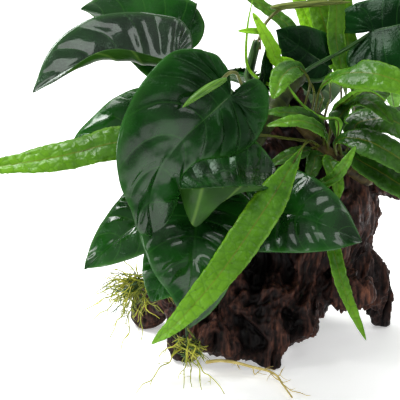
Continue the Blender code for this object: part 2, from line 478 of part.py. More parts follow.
def build_leaves(parts, cutters, stem):
    green = ((0.02, 0.09, 0.02), 0.22)
    for name, leaf in LEAVES.items():
        spine = Spine(leaf["midrib"], leaf["faces"], lead=1)
        bm = sheet(BLADE_VEINS, BLADE_COLUMNS, lambda row, column: blade_point(leaf, spine, row, column))
        blade = to_object(bm, name, parts, green)
        thicken(blade, BLADE_THICKNESS)
        way = [on_path(ANUBIAS_RHIZOME, leaf["node"]), *reversed(leaf["petiole"])]
        line = [*smooth_line([*way, tuple(spine.point(-1.5, up=-2.4))], 2), spine.point(2, up=-1.4),
                spine.point(7, up=-0.9)]
        radii = [PETIOLE_RADIUS] * (len(line) - 2) + [PETIOLE_RADIUS * 0.85, PETIOLE_RADIUS * 0.3]
        stalk = helper(tube_mesh(name + "_petiole", line, radii, cutters))
        boolean(blade, stalk, "UNION")
        boolean(blade, stem, "DIFFERENCE")


def build_fronds(parts, stem):
    green = ((0.1, 0.28, 0.03), 0.4)
    for name, frond in FRONDS.items():
        start = on_path(FERN_RHIZOME, frond["node"])
        spine = Spine([start, *frond["spine"]], frond["faces"])
        bm = sheet(FROND_ROWS, 1, lambda row, column: frond_point(frond, spine, row, column))
        blade = to_object(bm, name, parts, green)
        thicken(blade, FROND_THICKNESS)
        boolean(blade, stem, "DIFFERENCE")


def build_new_leaves(parts, cutters, stem):
    """Blades still rolled into a spindle, on their petioles; the top one comes out of an old leaf's sheath."""
    green = ((0.12, 0.25, 0.05), 0.35)
    for name, leaf in NEW_LEAVES.items():
        start = [on_path(ANUBIAS_RHIZOME, leaf["node"])] if leaf["node"] else []
        way = smooth_line(start + leaf["petiole"], 2)
        blade_line = smooth_line(leaf["blade"], 2)
        spindle = [0.9, 1.9, 2.3, 2.2, 1.8, 1.2, 0.4]
        obj = tube_mesh(name, blade_line, spindle, parts, green)
        boolean(obj, helper(tube_mesh(name + "_petiole", way, [1.1] * len(way), cutters)), "UNION")
        if leaf["node"]:
            boolean(obj, stem, "DIFFERENCE")
    way = smooth_line([on_path(ANUBIAS_RHIZOME, 0.13), *SHEATH], 2)
    radii = [1.4, 1.4, 1.5, 1.8, 2.4, 3.0, 3.3, 3.5, 3.6, 3.4, 3.0]
    sheath = tube_mesh("leaf_sheath", way, radii, parts, ((0.05, 0.08, 0.03), 0.5))
    boolean(sheath, stem, "DIFFERENCE")


def build_roots(parts):
    look = ((0.35, 0.33, 0.06), 0.7)
    for name, stations in TUFTS.items():
        to_object(limb(stations, sides=10, rings=7, rough=0.3, floor=0), name, parts, look)
    tube_curve("long_root", LONG_ROOT, np.linspace(1.2, 0.7, len(LONG_ROOT)), parts, look)


def main():
    clear_scene()
    parts = make_collection("anubias_on_driftwood")
    cutters = make_collection("cutters")
    grown = build_wood(parts, cutters)
    wood = [grown["wood_trunk"], grown["wood_shoulder_left"]]
    anubias = rhizome("anubias_rhizome", ANUBIAS_RHIZOME, ANUBIAS_RHIZOME_RADIUS, parts, cutters,
                      ((0.06, 0.1, 0.03), 0.5), wood)
    fern = rhizome("fern_rhizome", FERN_RHIZOME, FERN_RHIZOME_RADIUS, parts, cutters, ((0.05, 0.03, 0.015), 0.8), wood)
    build_leaves(parts, cutters, anubias)
    build_fronds(parts, fern)
    build_new_leaves(parts, cutters, anubias)
    build_roots(parts)


main()
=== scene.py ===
"""Looks of the anubias and java fern on driftwood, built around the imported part.

Metres, +Z up, -Y toward the front. Inside this file shapes are worked out in millimetres and turned to metres
when a mesh is made. The design tables repeat the part's own, so each fine leaf lies where its plain solid lies.
"""

import math

import bmesh
import bpy
import numpy as np
from mathutils import Matrix, Vector, noise


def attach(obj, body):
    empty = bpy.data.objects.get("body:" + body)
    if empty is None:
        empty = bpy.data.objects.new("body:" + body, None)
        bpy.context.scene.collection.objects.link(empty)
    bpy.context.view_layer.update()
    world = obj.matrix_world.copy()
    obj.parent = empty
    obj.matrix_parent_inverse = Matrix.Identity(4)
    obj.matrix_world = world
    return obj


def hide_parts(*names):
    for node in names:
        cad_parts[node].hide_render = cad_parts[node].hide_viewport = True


MM = 0.001  # in metres

# Camera: it looks along +Y and down a little
TARGET = (-47, 0, 96)
DISTANCE = 1000
RISE_DEG = 18
FRAME_WIDTH = 260  # across the picture at the target
SENSOR_WIDTH = 36

# Floor
FLOOR_HALF_SIZE = 20000
FLOOR_DROP = 0.5

# Anubias, in millimetres
BLADE_THICKNESS = 0.9
PETIOLE_RADIUS = 1.3
ANUBIAS_RHIZOME = [(16, 10, 178), (8, -8, 173), (-2, -23, 161), (-17, -35, 141), (-31, -45, 116),
                   (-45, -51, 90), (-58, -52, 62)]
ANUBIAS_RHIZOME_RADIUS = 6.0

# Java fern
FROND_THICKNESS = 0.6
STIPE_HALF_WIDTH = 0.9
FERN_RHIZOME = [(10, -15, 160), (18, -21, 150), (28, -25, 140), (39, -27, 131), (51, -27, 122), (62, -22, 114)]
FERN_RHIZOME_RADIUS = 3.6

# Fineness and finish
LEAF_ROWS = 97
LEAF_COLUMNS = 20  # on each side of the midrib
LEAF_VEINS = 11
RIPPLE_HEIGHT = 1.9  # between two side veins
RIM_WAVE = 1.8
RIB_GROOVE = 0.4
CUP_DEPTH = 7
CUP_RIPPLE = 1.5
LATE_BEND = 1.3  # 1 bends a blade evenly from midrib to rim, more bends it nearer the rim
# Share of the ripple height, by leaf
LEAF_RIPPLES = {1: 1.35, 2: 0.55, 3: 0.3, 10: 0.3, 11: 0.3, 12: 0.35, 14: 0.6, 15: 0.6, 16: 0.6}
FROND_COLUMNS = 13
PUCKER_HEIGHT = 0.7
PUCKER_LENGTH = 5.2
PUCKER_WIDTH = 4.2
WOOD_VOXEL = 1.1
WOOD_SMOOTHING = 24
FOLD_HEIGHT = 3.2
GRAIN_HEIGHT = 1.7
FINE_HEIGHT = 1.1
CLEFT_DEPTH = 7.0
ROOT_STEP = 2.0
ROOT_CLEARANCE = 0.7  # above the floor
MERGE_WITHIN = 0.004
SLIVER = 0.001
MID_GREEN_LEAVES = (3, 4, 5, 12, 13, 15, 16)
WET_LEAVES = (2,)
DRY_LEAVES = (10, 11, 14)
YOUNG_FRONDS = (17, 18)
BRIGHT_FRONDS = (1, 2, 3, 9, 10, 19, 20, 21, 25)
# Dark fronds: partly their own darker green, partly painted shade on fronds that lie under others
DARK_SHADED_FRONDS = (7, 11, 12, 13, 14, 15, 26)

# Heart outline of an anubias blade: (along / length, half width / greatest half width), notch to tip
HEART = [(0, 0), (-0.09, 0.05), (-0.23, 0.2), (-0.3, 0.44), (-0.28, 0.7), (-0.16, 0.92), (0.03, 1),
         (0.24, 0.97), (0.44, 0.86), (0.63, 0.68), (0.79, 0.45), (0.91, 0.2), (1, 0)]


def broad_leaf(midrib, faces, widths, node, petiole, bend=(-0.6, -0.6, -0.7), rise=(0.2, 0.2, 0.2),
               lobes=(0.8, 0.8), outlines=(HEART, HEART)):
    """One anubias leaf. A bend or a rise given once holds for both sides.

    midrib: its first point lies behind the notch, the second is the notch, the last the tip.
    faces: the way the blade faces at the notch and at the tip.
    widths: half widths left and right of the midrib.
    node: where on the rhizome the petiole starts, and petiole: the points it passes.
    bend: each side's at the lobe, the middle and the tip, in radians, minus is downward.
    rise: the angle at which each side leaves the midrib, at the same three places.
    lobes: how far each side's lobe reaches behind the notch, as a share of its outline's.
    """
    bend, rise = ([value, value] if isinstance(value, tuple) else value for value in (bend, rise))
    return dict(midrib=midrib, faces=faces, widths=widths, node=node, petiole=petiole, bend=bend, rise=rise,
                lobes=lobes, outlines=outlines)


# The big front leaf's own outlines, left and right, with its wavy end
BIG_LEAF = [
    [(0, 0), (-0.06, 0.15), (-0.1, 0.35), (-0.09, 0.6), (0, 0.86), (0.12, 1.05), (0.26, 1.08), (0.4, 0.99),
     (0.54, 0.82), (0.68, 0.58), (0.78, 0.36), (0.9, 0.28), (1, 0)],
    [(0, 0), (-0.13, 0.02), (-0.25, 0.14), (-0.26, 0.42), (-0.15, 0.75), (0, 0.97), (0.14, 0.96), (0.26, 0.74),
     (0.36, 0.54), (0.48, 0.42), (0.62, 0.42), (0.76, 0.6), (0.88, 0.55), (1, 0)],
]

# Anubias leaves by number. Leaves 7 and 8 are the cupped leaf below.
LEAVES = {
    1: broad_leaf([(-26, -67, 186), (-29, -72, 184), (-44, -88, 174), (-59, -97, 162), (-70, -100, 147),
        (-76, -100, 127), (-74, -94, 103)], [(0.25, -0.95, 0.2), (0.5, -0.8, 0.3)], (40, 36), 0.47,
        [(-24, -60, 170)], bend=[(-0.8, -0.5, -1.3), (-0.2, -1.0, -1.1)], rise=[(0, 0.25, 0.3), (0.1, 0, 0.2)],
        lobes=(1, 1), outlines=BIG_LEAF),
    2: broad_leaf([(-58, -14, 188), (-62, -16, 189), (-79, -25, 194), (-101, -34, 199), (-122, -45, 196),
        (-147, -60, 183)], [(-0.1, -0.5, 0.8), (-0.3, -0.5, 0.8)], (32, 20), 0.33,
        [(-50, -6, 180), (-26, -16, 160)], bend=[(-0.2, -0.2, -0.3), (-0.6, 1.9, 1.9)],
        rise=[(0.6, 0.6, 0.4), (0, 0.2, 0.2)], lobes=(0.4, 0.5)),
    3: broad_leaf([(-56, 20, 188), (-61, 18, 191), (-79, 16, 203), (-99, 13, 213), (-122, 5, 221)],
        [(0.1, -0.8, 0.6), (-0.4, -0.4, 0.8)], (38, 27), 0.27, [(-41, 22, 178), (-20, 3, 161)],
        bend=(-0.5, -0.7, -0.8), lobes=(0.7, 0.7)),
    4: broad_leaf([(-58, -40, 166), (-63, -41, 165), (-87, -46, 161), (-111, -52, 150), (-132, -55, 134)],
        [(0.1, -0.7, 0.7), (-0.4, -0.6, 0.7)], (24, 20), 0.42, [(-42, -34, 156)], bend=(-0.6, -0.7, -0.7)),
    5: broad_leaf([(-61, -58, 119), (-65, -63, 117), (-83, -78, 108), (-101, -84, 95), (-117, -83, 79)],
        [(-0.2, -0.8, 0.6), (-0.3, -0.6, 0.7)], (23, 24), 0.76, [(-54, -54, 110)], bend=(-0.5, -0.6, -0.7)),
    6: broad_leaf([(-45, -62, 125), (-46, -68, 121), (-49, -86, 109), (-51, -98, 92), (-54, -102, 73),
        (-59, -102, 59)], [(0.1, -0.8, 0.6), (0.1, -0.9, 0.5)], (38, 31), 0.68, [(-40, -57, 118)],
        lobes=(0.45, 0.35)),
    9: broad_leaf([(-15, -60, 112), (-11, -64, 112), (7, -78, 113), (27, -84, 108), (50, -84, 97)],
        [(0.1, -0.8, 0.5), (0.3, -0.8, 0.5)], (28, 30), 0.66, [(-16, -54, 113), (-24, -46, 116)],
        lobes=(0.9, 0.9)),
    10: broad_leaf([(40, 32, 175), (36, 31, 178), (20, 29, 190), (2, 26, 203)],
        [(0.1, -0.8, 0.6), (-0.2, -0.8, 0.6)], (20, 23), 0.04, [(38, 29, 173), (28, 14, 172)],
        bend=[(-0.4, -0.5, -0.6), (-0.4, -0.3, -0.4)], rise=(0.1, 0.1, 0.1), lobes=(0.3, 0.3)),
    11: broad_leaf([(60, 37, 198), (65, 36, 200), (84, 31, 206), (108, 33, 211), (134, 45, 209)],
        [(0, -0.7, 0.7), (0.3, -0.8, 0.6)], (37, 24), 0.09, [(46, 24, 190), (24, 6, 183)],
        bend=(-0.5, -0.6, -0.7), rise=(0.3, 0.25, 0.2), lobes=(0.9, 1.0)),
    12: broad_leaf([(-36, -54, 93), (-37, -58, 88), (-40, -69, 76), (-45, -77, 59), (-53, -79, 39)],
        [(0.2, -0.9, 0.4), (0.3, -0.9, 0.2)], (18, 17), 0.82, [(-38, -54, 88)], bend=(-0.6, -0.7, -0.7),
        lobes=(0.4, 0.4)),
    13: broad_leaf([(-58, -62, 90), (-60, -66, 87), (-67, -75, 76), (-77, -78, 56)],
        [(-0.1, -0.9, 0.5), (-0.2, -0.8, 0.6)], (20, 20), 0.9, [(-57, -60, 86)], bend=(-0.5, -0.6, -0.7),
        lobes=(0.3, 0.3)),
    14: broad_leaf([(-7, -2, 169), (-7, 0, 172), (-5, 5, 184), (-4, 10, 197)],
        [(0.8, -0.6, 0.1), (0.8, -0.6, 0.1)], (8, 8), 0.2, [(-6, -8, 168)], bend=(0.3, 0.3, 0.3),
        rise=(0.1, 0.1, 0.1), lobes=(0.2, 0.2)),
    15: broad_leaf([(-34, 46, 170), (-37, 50, 170), (-54, 66, 164), (-72, 80, 148), (-84, 88, 128)],
        [(-0.2, 0.5, 0.8), (-0.6, 0.6, 0.5)], (34, 34), 0.06, [(-22, 38, 166), (-4, 25, 163)],
        bend=(-0.6, -0.8, -0.8)),
    16: broad_leaf([(18, 56, 163), (20, 60, 163), (28, 80, 159), (33, 98, 144), (36, 108, 123)],
        [(0.1, 0.5, 0.9), (0.2, 0.8, 0.5)], (28, 28), 0.02, [(15, 48, 162), (14, 32, 161), (14, 21, 167)],
        bend=(-0.6, -0.8, -0.8), lobes=(0.5, 0.5)),
}

# The cupped leaf, which stands for leaves 7 and 8: its back rim, its near rim and the hem under the near rim
CUPPED_LEAF = dict(
    back=[(-59, -92, 133), (-59, -76, 143), (-49, -60, 151), (-32, -52, 155), (-16, -50, 152), (-5, -60, 143),
          (0, -75, 136)],
    front=[(-59, -92, 133), (-50, -101, 136), (-40, -106, 138), (-27, -107, 139), (-15, -100, 137),
           (-4, -88, 133), (0, -75, 136)],
    hem=[(-59, -92, 132), (-55, -99, 120), (-50, -103, 113), (-43, -102, 118), (-36, -103, 127),
         (-27, -105, 134), (-12, -97, 134), (0, -75, 135)],
)

# Fern fronds in order from the first: spine points from where the stipe leaves the rhizome to the tip, the way
# the frond faces at each end, half width, how much of it is stipe, and where on the rhizome it starts.
FRONDS = [
    ([(6, -40, 149), (-10, -51, 154), (-28, -57, 154), (-56, -62, 153), (-92, -71, 156), (-130, -79, 149),
     (-180, -82, 141)], [(0, -0.7, 0.7), (-0.1, -0.7, 0.7)], 11.5, 0.3, 0.35),
    ([(19, -44, 148), (8, -73, 142), (-9, -104, 125), (-33, -128, 97), (-56, -138, 72), (-75, -136, 53)],
     [(0.3, -0.6, 0.7), (0.1, -0.8, 0.6)], 10.4, 0.12, 0.42),
    ([(30, -50, 112), (35, -71, 85), (41, -80, 64), (54, -89, 35)], [(-0.2, -0.8, 0.6), (0.2, -0.7, 0.7)], 4.6,
     0.25, 0.62),
    ([(21, -44, 128), (24, -54, 125), (33, -62, 130), (40, -66, 140), (47, -60, 150)],
     [(0, -0.6, 0.8), (0.2, -0.8, 0.6)], 4.2, 0.3, 0.52),
    ([(33, -46, 137), (35, -54, 131), (37, -58, 124), (37, -60, 115)], [(0.1, -0.8, 0.6), (0, -0.9, 0.5)], 5.4,
     0.1, 0.6),
    ([(20, -14, 168), (22, -4, 177), (14, -10, 187), (4, -29, 186), (-3, -45, 175)],
     [(-0.3, -0.8, 0.5), (0.1, -0.7, 0.7)], 8.4, 0.35, 0.12),
    ([(28, -36, 154), (17, -40, 163), (7, -42, 166), (-8, -42, 166)], [(0, -0.7, 0.7), (0, -0.6, 0.8)], 6, 0.1,
     0.45),
    ([(30, -40, 152), (22, -48, 160), (12, -50, 163), (1, -52, 162), (-7, -52, 160)],
     [(0, -0.7, 0.7), (-0.1, -0.7, 0.7)], 4.8, 0.1, 0.5),
    ([(39, -28, 157), (29, -28, 159), (19, -27, 165), (12, -27, 172), (7, -28, 180)],
     [(0, 0.5, 0.9), (0.2, 0.3, 0.9)], 3.6, 0.1, 0.55),
    ([(26, -16, 164), (28, -18, 175), (35, -24, 184), (45, -38, 190), (59, -46, 191), (76, -50, 186),
     (104, -48, 171)], [(0, -0.6, 0.8), (0, -0.5, 0.9)], 12.5, 0.2, 0.3),
    ([(39, -20, 153), (46, -24, 165), (53, -32, 172), (62, -40, 169), (71, -44, 159)],
     [(0, -0.4, 0.9), (0.2, -0.5, 0.8)], 9.4, 0.12, 0.66),
    ([(50, -16, 148), (61, -20, 156), (73, -24, 156), (97, -25, 141)], [(0, -0.6, 0.8), (0.1, -0.6, 0.8)], 12.5,
     0.15, 0.86),
    ([(37, -34, 145), (46, -42, 150), (59, -52, 149), (75, -60, 141), (101, -64, 122)],
     [(0, -0.6, 0.8), (0.1, -0.7, 0.7)], 10.5, 0.05, 0.6),
    ([(43, -36, 139), (51, -44, 136), (64, -50, 130), (81, -54, 120), (107, -54, 103)],
     [(0, -0.6, 0.8), (0.1, -0.7, 0.7)], 9.5, 0.05, 0.74),
    ([(14, -46, 142), (5, -50, 140), (-6, -53, 135)], [(0, -0.8, 0.6), (0, -0.8, 0.6)], 4.6, 0.14, 0.4),
    ([(30, -4, 162), (32, 24, 162), (22, 54, 182), (12, 66, 198), (-7, 75, 211), (-29, 80, 226)],
     [(0.2, -0.8, 0.6), (0.2, -0.6, 0.7)], 5.5, 0.4, 0.26),
    ([(25, -8, 166), (24, 16, 171), (15, 20, 182), (3, 7, 187), (-2, 6, 197), (-8, 6, 208), (-14, 8, 218)],
     [(0, -0.9, 0.5), (0, -0.9, 0.5)], 4.8, 0.46, 0.22),
    ([(34, 0, 158), (38, 24, 160), (37, 44, 174), (27, 60, 197), (17, 70, 220), (10, 72, 241)],
     [(0.1, -0.9, 0.5), (0, -0.9, 0.5)], 6, 0.35, 0.37),
    ([(41, -2, 153), (45, 22, 160), (44, 42, 176), (36, 54, 199), (30, 60, 221), (28, 62, 249)],
     [(0.1, -0.9, 0.5), (0, -0.9, 0.5)], 8, 0.35, 0.45),
    ([(46, -8, 146), (47, 22, 168), (42, 36, 194), (42, 42, 219), (37, 44, 250)],
     [(0.1, -0.9, 0.5), (0, -0.9, 0.5)], 6, 0.3, 0.55),
    ([(51, -3, 145), (53, 28, 169), (50, 48, 195), (49, 58, 213), (53, 64, 239)],
     [(0.1, -0.9, 0.5), (0, -0.9, 0.5)], 6.5, 0.3, 0.64),
    ([(58, -6, 138), (84, 14, 152), (116, 30, 150), (142, 40, 130)], [(-0.2, -0.2, 0.9), (0.5, 0, 0.8)], 9.5,
     0.25, 0.92),
    ([(56, 10, 146), (70, 52, 160), (84, 86, 152), (92, 108, 126)], [(0, -0.3, 0.9), (0.3, 0.6, 0.7)], 12, 0.12,
     0.76),
    ([(70, -20, 128), (94, -10, 134), (122, 0, 122), (144, 6, 100)], [(0, 0, 1), (0.6, 0, 0.7)], 8.5, 0.2,
     0.98),
    ([(37, -14, 159), (44, -24, 170), (49, -38, 178), (58, -46, 180), (68, -50, 173)],
     [(0, 0.4, 0.9), (0.2, 0.3, 0.9)], 3.4, 0.12, 0.48),
    ([(25, -38, 137), (23, -46, 134), (19, -52, 124)], [(0, -0.8, 0.6), (0, -0.8, 0.6)], 5.6, 0.12, 0.53),
]

# Young shoots beside a frond, by its number, each a narrow blade: its points, then its greatest half width
SHOOTS = {
    17: [([(-6, 8, 205), (-13, 8, 206), (-23, 8, 206)], 1.9),
         ([(10, -15, 160), (4, -4, 170), (-9, 5, 175), (-17, 10, 184), (-17, 10, 207), (-14, 10, 225)], 0.8)],
}

# Rolled new leaves: petiole points after the rhizome, then the rolled blade from its base to its tip
NEW_LEAVES = {
    "new_leaf_low": dict(
        node=0.3, petiole=[(-14, -43, 166), (-21, -57, 184), (-24, -62, 192), (-26, -70, 197), (-30, -78, 199),
                           (-35, -85, 196)],
        blade=[(-32, -84, 197), (-42, -90, 193), (-50, -96, 189), (-57, -100, 184)]),
    "new_leaf_top": dict(
        node=None, petiole=[(-9, 23, 197), (-7, 28, 202), (-3, 32, 208), (4, 34, 214), (11, 35, 216)],
        blade=[(-1, 34, 216), (14, 36, 217), (34, 39, 218), (52, 42, 218)]),
}
SHEATH = [(3, 7, 175), (-8, 14, 169), (-15, 20, 171), (-14, 21, 181), (-10.5, 22, 196)]

# Swellings that close the forks of the stump: centre, then half width, half depth and half height
WOOD_BURLS = [(-38, -48, 22, 9, 12, 13), (47, -28, 44, 20, 14, 13), (-26, -46, 14, 10, 10, 9)]

# Root tufts: where they grow from the rhizome and by how many stems, the crown they fan out from and its half
# size, the ways they fan between, how many and how long, the share of each colour, and the tips of the longest.
ROOT_FANS = {
    "root_tuft_left": dict(
        base=(-60, -53, 62), stems=7, crown=(-83, -55, 61), size=(9, 5, 5), reach=(14, 34), count=84,
        fan=[(-1, -0.1, 0), (-0.3, -0.2, -1)], mix=(0.42, 0.33, 0.25),
        tips=[(-119, -56, 42), (-114, -52, 34), (-104, -54, 22), (-97, -58, 14), (-84, -58, 22),
              (-112, -50, 50)]),
    "root_tuft_front": dict(
        base=(-57, -55, 58), stems=3, crown=(-54, -60, 22), size=(7, 4, 6), reach=(7, 17), count=24,
        fan=[(-1, -0.3, -0.2), (0.7, -0.4, -0.6)], mix=(0.3, 0.4, 0.3),
        tips=[(-86, -90, 1), (-57, -84, 1), (-52, -82, 1), (-46, -86, 1), (-32, -92, 1), (-73, -62, 12)]),
}
# The one long root, which runs over the floor
LONG_ROOT = [(-43, -60, 8), (-34, -60, 9), (-24, -61, 8), (-14, -63, 6), (-5, -66, 5), (1, -72, 4), (4, -82, 3),
             (9, -98, 1.6)]


def smooth_line(points, per=12):
    """Catmull-Rom line through the points."""
    p = np.asarray(points, float)
    p = np.vstack([2 * p[0] - p[1], p, 2 * p[-1] - p[-2]])
    t = np.linspace(0, 1, per, endpoint=False)[:, None]
    runs = []
    for a, b, c, d in zip(p[:-3], p[1:-2], p[2:-1], p[3:]):
        square, cube = 2 * a - 5 * b + 4 * c - d, 3 * b - a - 3 * c + d
        runs.append(0.5 * (2 * b + (c - a) * t + square * t**2 + cube * t**3))
    return np.vstack(runs + [p[-2:-1]])


def run_of(line):
    """Distance along a line to each of its points."""
    return np.concatenate([[0], np.cumsum(np.linalg.norm(np.diff(line, axis=0), axis=1))])


def read_at(table, run, place):
    return np.stack([np.interp(place, run, table[:, k]) for k in range(3)], axis=-1)


def on_path(path, share):
    line = smooth_line(path)
    run = run_of(line)
    return read_at(line, run, share * run[-1])


def arch(x):
    """Half a sine wave: 0 at 0 and 1, and 1 between them."""
    return np.sin(math.pi * x)


def uv_grid(u, v):
    return np.stack(np.broadcast_arrays(u, v), -1)


def add_object(name, data):
    obj = bpy.data.objects.new(name, data)
    bpy.context.scene.collection.objects.link(obj)
    return obj


def smoothstep(low, high, x):
    t = np.clip((x - low) / (high - low), 0, 1)
    return t * t * (3 - 2 * t)


def speckle(points, scale, seed=0.0, octaves=3):
    """Smooth noise from -1 to 1 at points in millimetres."""
    flat = np.reshape(points, (-1, 3)) * scale + seed
    values = [noise.fractal(Vector(v), 1.0, 2.0, octaves) for v in flat]
    return np.reshape(values, np.shape(points)[:-1])


def wander(x, seed):
    """Smooth noise from -1 to 1 along one axis."""
    return speckle(np.stack(np.broadcast_arrays(x, seed * 7.31, 2.7), -1), 1, octaves=2)


class Spine:
    """A line by distance from its start, with a normal that turns from one facing to the other."""

    def __init__(self, points, faces, lead=0):
        self.line = smooth_line(points)
        self.run = run_of(self.line)
        self.zero = self.run[12 * lead]
        self.length = self.run[-1] - self.zero
        self.along = np.gradient(self.line, axis=0)
        self.along /= np.linalg.norm(self.along, axis=1)[:, None]
        share = np.clip((self.run - self.zero) / self.length, 0, 1)[:, None]
        up = np.asarray(faces[0], float) * (1 - share) + np.asarray(faces[1], float) * share
        up -= (up * self.along).sum(1)[:, None] * self.along
        self.up = up / np.linalg.norm(up, axis=1)[:, None]
        self.across = np.cross(self.along, self.up)

    def read(self, table, distance):
        return read_at(table, self.run, np.clip(distance + self.zero, 0, self.run[-1]))

    def point(self, distance, across=0.0, up=0.0):
        distance = np.asarray(distance, float)
        over = distance + self.zero - np.clip(distance + self.zero, 0, self.run[-1])
        middle = self.read(self.line, distance) + over[..., None] * self.read(self.along, distance)
        sideways = np.asarray(across, float)[..., None] * self.read(self.across, distance)
        return middle + sideways + np.asarray(up, float)[..., None] * self.read(self.up, distance)


def curl(share, start, bend):
    """Reach and rise of a strip that leaves at an angle and bends evenly, at a share of its width."""
    bend = np.where(np.abs(bend) < 1e-3, 1e-3, bend)
    angle = start + bend * share
    return (np.sin(angle) - np.sin(start)) / bend, (np.cos(start) - np.cos(angle)) / bend


def roll(share, start, bend):
    """Reach and rise of a strip that bends more and more toward its rim."""
    steps = np.linspace(0, 1, 13)
    angle = start[..., None] + bend[..., None] * (share[..., None] * steps) ** LATE_BEND
    weight = np.full(13, share.dtype.type(1 / 12))
    weight[[0, -1]] /= 2
    return (np.cos(angle) @ weight) * share, (np.sin(angle) @ weight) * share


def blend(three, w):
    """Parabola through the values at the lobe, the middle and the tip."""
    return three[0] * (1 - w) * (1 - 2 * w) + 4 * three[1] * w * (1 - w) + three[2] * w * (2 * w - 1)


def heart(t, outline, lobe):
    """Outline points at t = 0 (notch) to 1 (tip)."""
    line = smooth_line(outline, 10)
    u = np.linspace(0, 1, len(line))
    x = np.interp(t, u, line[:, 0])
    return np.where(x < 0, x * lobe, x), np.maximum(0, np.interp(t, u, line[:, 1]))


def blade_half(leaf, spine, row, r, side, seed):
    """Points of half a blade. Rows run along the side veins, r from the midrib to the rim."""
    rim_x, rim_y = heart(row, leaf["outlines"][side], leaf["lobes"][side])
    rim_y = rim_y * (1 + 0.012 * wander(row * 9, seed + side))
    rib_x = np.maximum(0, (row - 0.42) / 0.58) ** 1.5
    mid_x, mid_y = rib_x + (rim_x - rib_x) * 0.15, rim_y * 0.68
    x = rib_x * (1 - r) ** 2 + 2 * mid_x * r * (1 - r) + rim_x * r**2
    y = 2 * mid_y * r * (1 - r) + rim_y * r**2
    w = np.clip((x + 0.3) / 1.3, 0, 1)
    reach, rise = roll(y, blend(leaf["rise"][side], w), blend(leaf["bend"][side], w))
    width = leaf["widths"][side]
    return spine.point(x * spine.length, (1 - 2 * side) * reach * width, rise * width), x, y * width


class Form:
    """Points in millimetres, faces, material numbers and UVs gathered for one mesh."""

    def __init__(self):
        self.points, self.faces, self.slots, self.uvs = [], [], [], []
        self.count = 0

    def grid(self, points, uv, slot, flip=False):
        """A grid of rows and columns of points, faced up where its rows run on and its columns run left."""
        rows, columns = points.shape[:2]
        index = np.arange(rows * columns).reshape(rows, columns) + self.count
        quads = np.stack([index[:-1, :-1], index[:-1, 1:], index[1:, 1:], index[1:, :-1]], -1).reshape(-1, 4)
        self.faces.append(quads[:, ::-1] if flip else quads)
        self.slots.append(np.full(len(quads), slot))
        self.points.append(points.reshape(-1, 3))
        self.uvs.append(uv.reshape(-1, 2))
        self.count += rows * columns

    def tube(self, line, radii, slot, sides=10, flat=1.0):
        """Round tube along a line, closed to a point at both ends."""
        line = np.asarray(line, float)
        radii = np.broadcast_to(np.asarray(radii, float), len(line))
        along = np.gradient(line, axis=0)
        along /= np.linalg.norm(along, axis=1)[:, None] + 1e-9
        side = np.zeros_like(line)
        side[0] = np.cross(along[0], (0.31, 0.17, 0.93))
        for k in range(len(line)):
            last = side[max(k - 1, 0)]
            here = last - (last @ along[k]) * along[k]
            side[k] = here / np.linalg.norm(here)
        other = np.cross(along, side)
        turn = np.linspace(0, 2 * math.pi, sides + 1)
        ring = np.cos(turn)[None, :, None] * side[:, None] + flat * np.sin(turn)[None, :, None] * other[:, None]
        body = line[:, None] + ring * radii[:, None, None]
        start = np.repeat((line[0] - along[0] * radii[0] * 0.5)[None, None], sides + 1, axis=1)
        end = np.repeat((line[-1] + along[-1] * radii[-1] * 0.5)[None, None], sides + 1, axis=1)
        points = np.concatenate([start, body, end])
        run = run_of(line)
        v = np.concatenate([[0], run, run[-1:]]) / 10
        self.grid(points, uv_grid(turn / (2 * math.pi), v[:, None]), slot, flip=True)

    def to_object(self, name, materials):
        points = np.vstack(self.points) * MM
        faces = np.vstack(self.faces)
        mesh = bpy.data.meshes.new(name)
        mesh.from_pydata(points.tolist(), [], faces.tolist())
        mesh.polygons.foreach_set("material_index", np.concatenate(self.slots).astype(np.int32))
        layer = mesh.uv_layers.new(name="UVMap")
        layer.data.foreach_set("uv", np.vstack(self.uvs)[faces.ravel()].astype(np.float32).ravel())
        for material in materials:
            mesh.materials.append(material)
        bm = bmesh.new()
        bm.from_mesh(mesh)
        bmesh.ops.remove_doubles(bm, verts=bm.verts, dist=MERGE_WITHIN * MM)
        bmesh.ops.dissolve_degenerate(bm, edges=bm.edges, dist=SLIVER * MM)
        loose = [vert for vert in bm.verts if not vert.link_faces]
        bmesh.ops.delete(bm, geom=loose, context="VERTS")
        bm.to_mesh(mesh)
        bm.free()
        mesh.shade_smooth()
        return add_object(name, mesh)


def grid_normals(points, up):
    """Unit normals of a grid of points; where it closes to a point, the spine's own."""
    across = np.gradient(points, axis=1)
    along = np.gradient(points, axis=0)
    normal = np.cross(along, across)
    size = np.linalg.norm(normal, axis=-1, keepdims=True)
    middle = points.shape[0] // 2, points.shape[1] // 2
    if normal[middle] @ up[middle] < 0:
        normal = -normal
    normal = normal / np.maximum(size, 1e-9)
    steady = smoothstep(0.0, 0.02, size)
    normal = normal * steady + up * (1 - steady)
    return normal / np.linalg.norm(normal, axis=-1, keepdims=True)


def skin(form, points, normal, thickness, uv, top=0, under=1):
    """Closed sheet: its upper face, its under face and the rim between them."""
    below = points - normal * thickness[..., None]
    form.grid(points, uv, top)
    form.grid(below, uv, under, flip=True)
    for column in (0, -1):
        strip = np.stack([points[:, column], below[:, column]], axis=1)
        strip_uv = np.stack([uv[:, column], uv[:, column]], axis=1)
        form.grid(strip, strip_uv, under, flip=column == 0)


def place(obj, slot, *nodes):
    """The piece rides on the one body and stands for its CAD nodes, which are hidden. slot is not used."""
    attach(obj, "root")
    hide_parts(*nodes)


def linear(colour):
    """Linear colour from three 0 to 255 values seen on a screen. A socket passes through."""
    if not isinstance(colour, tuple):
        return colour
    return tuple((c / 255 / 12.92) if c < 10 else ((c / 255 + 0.055) / 1.055) ** 2.4 for c in colour) + (1.0,)


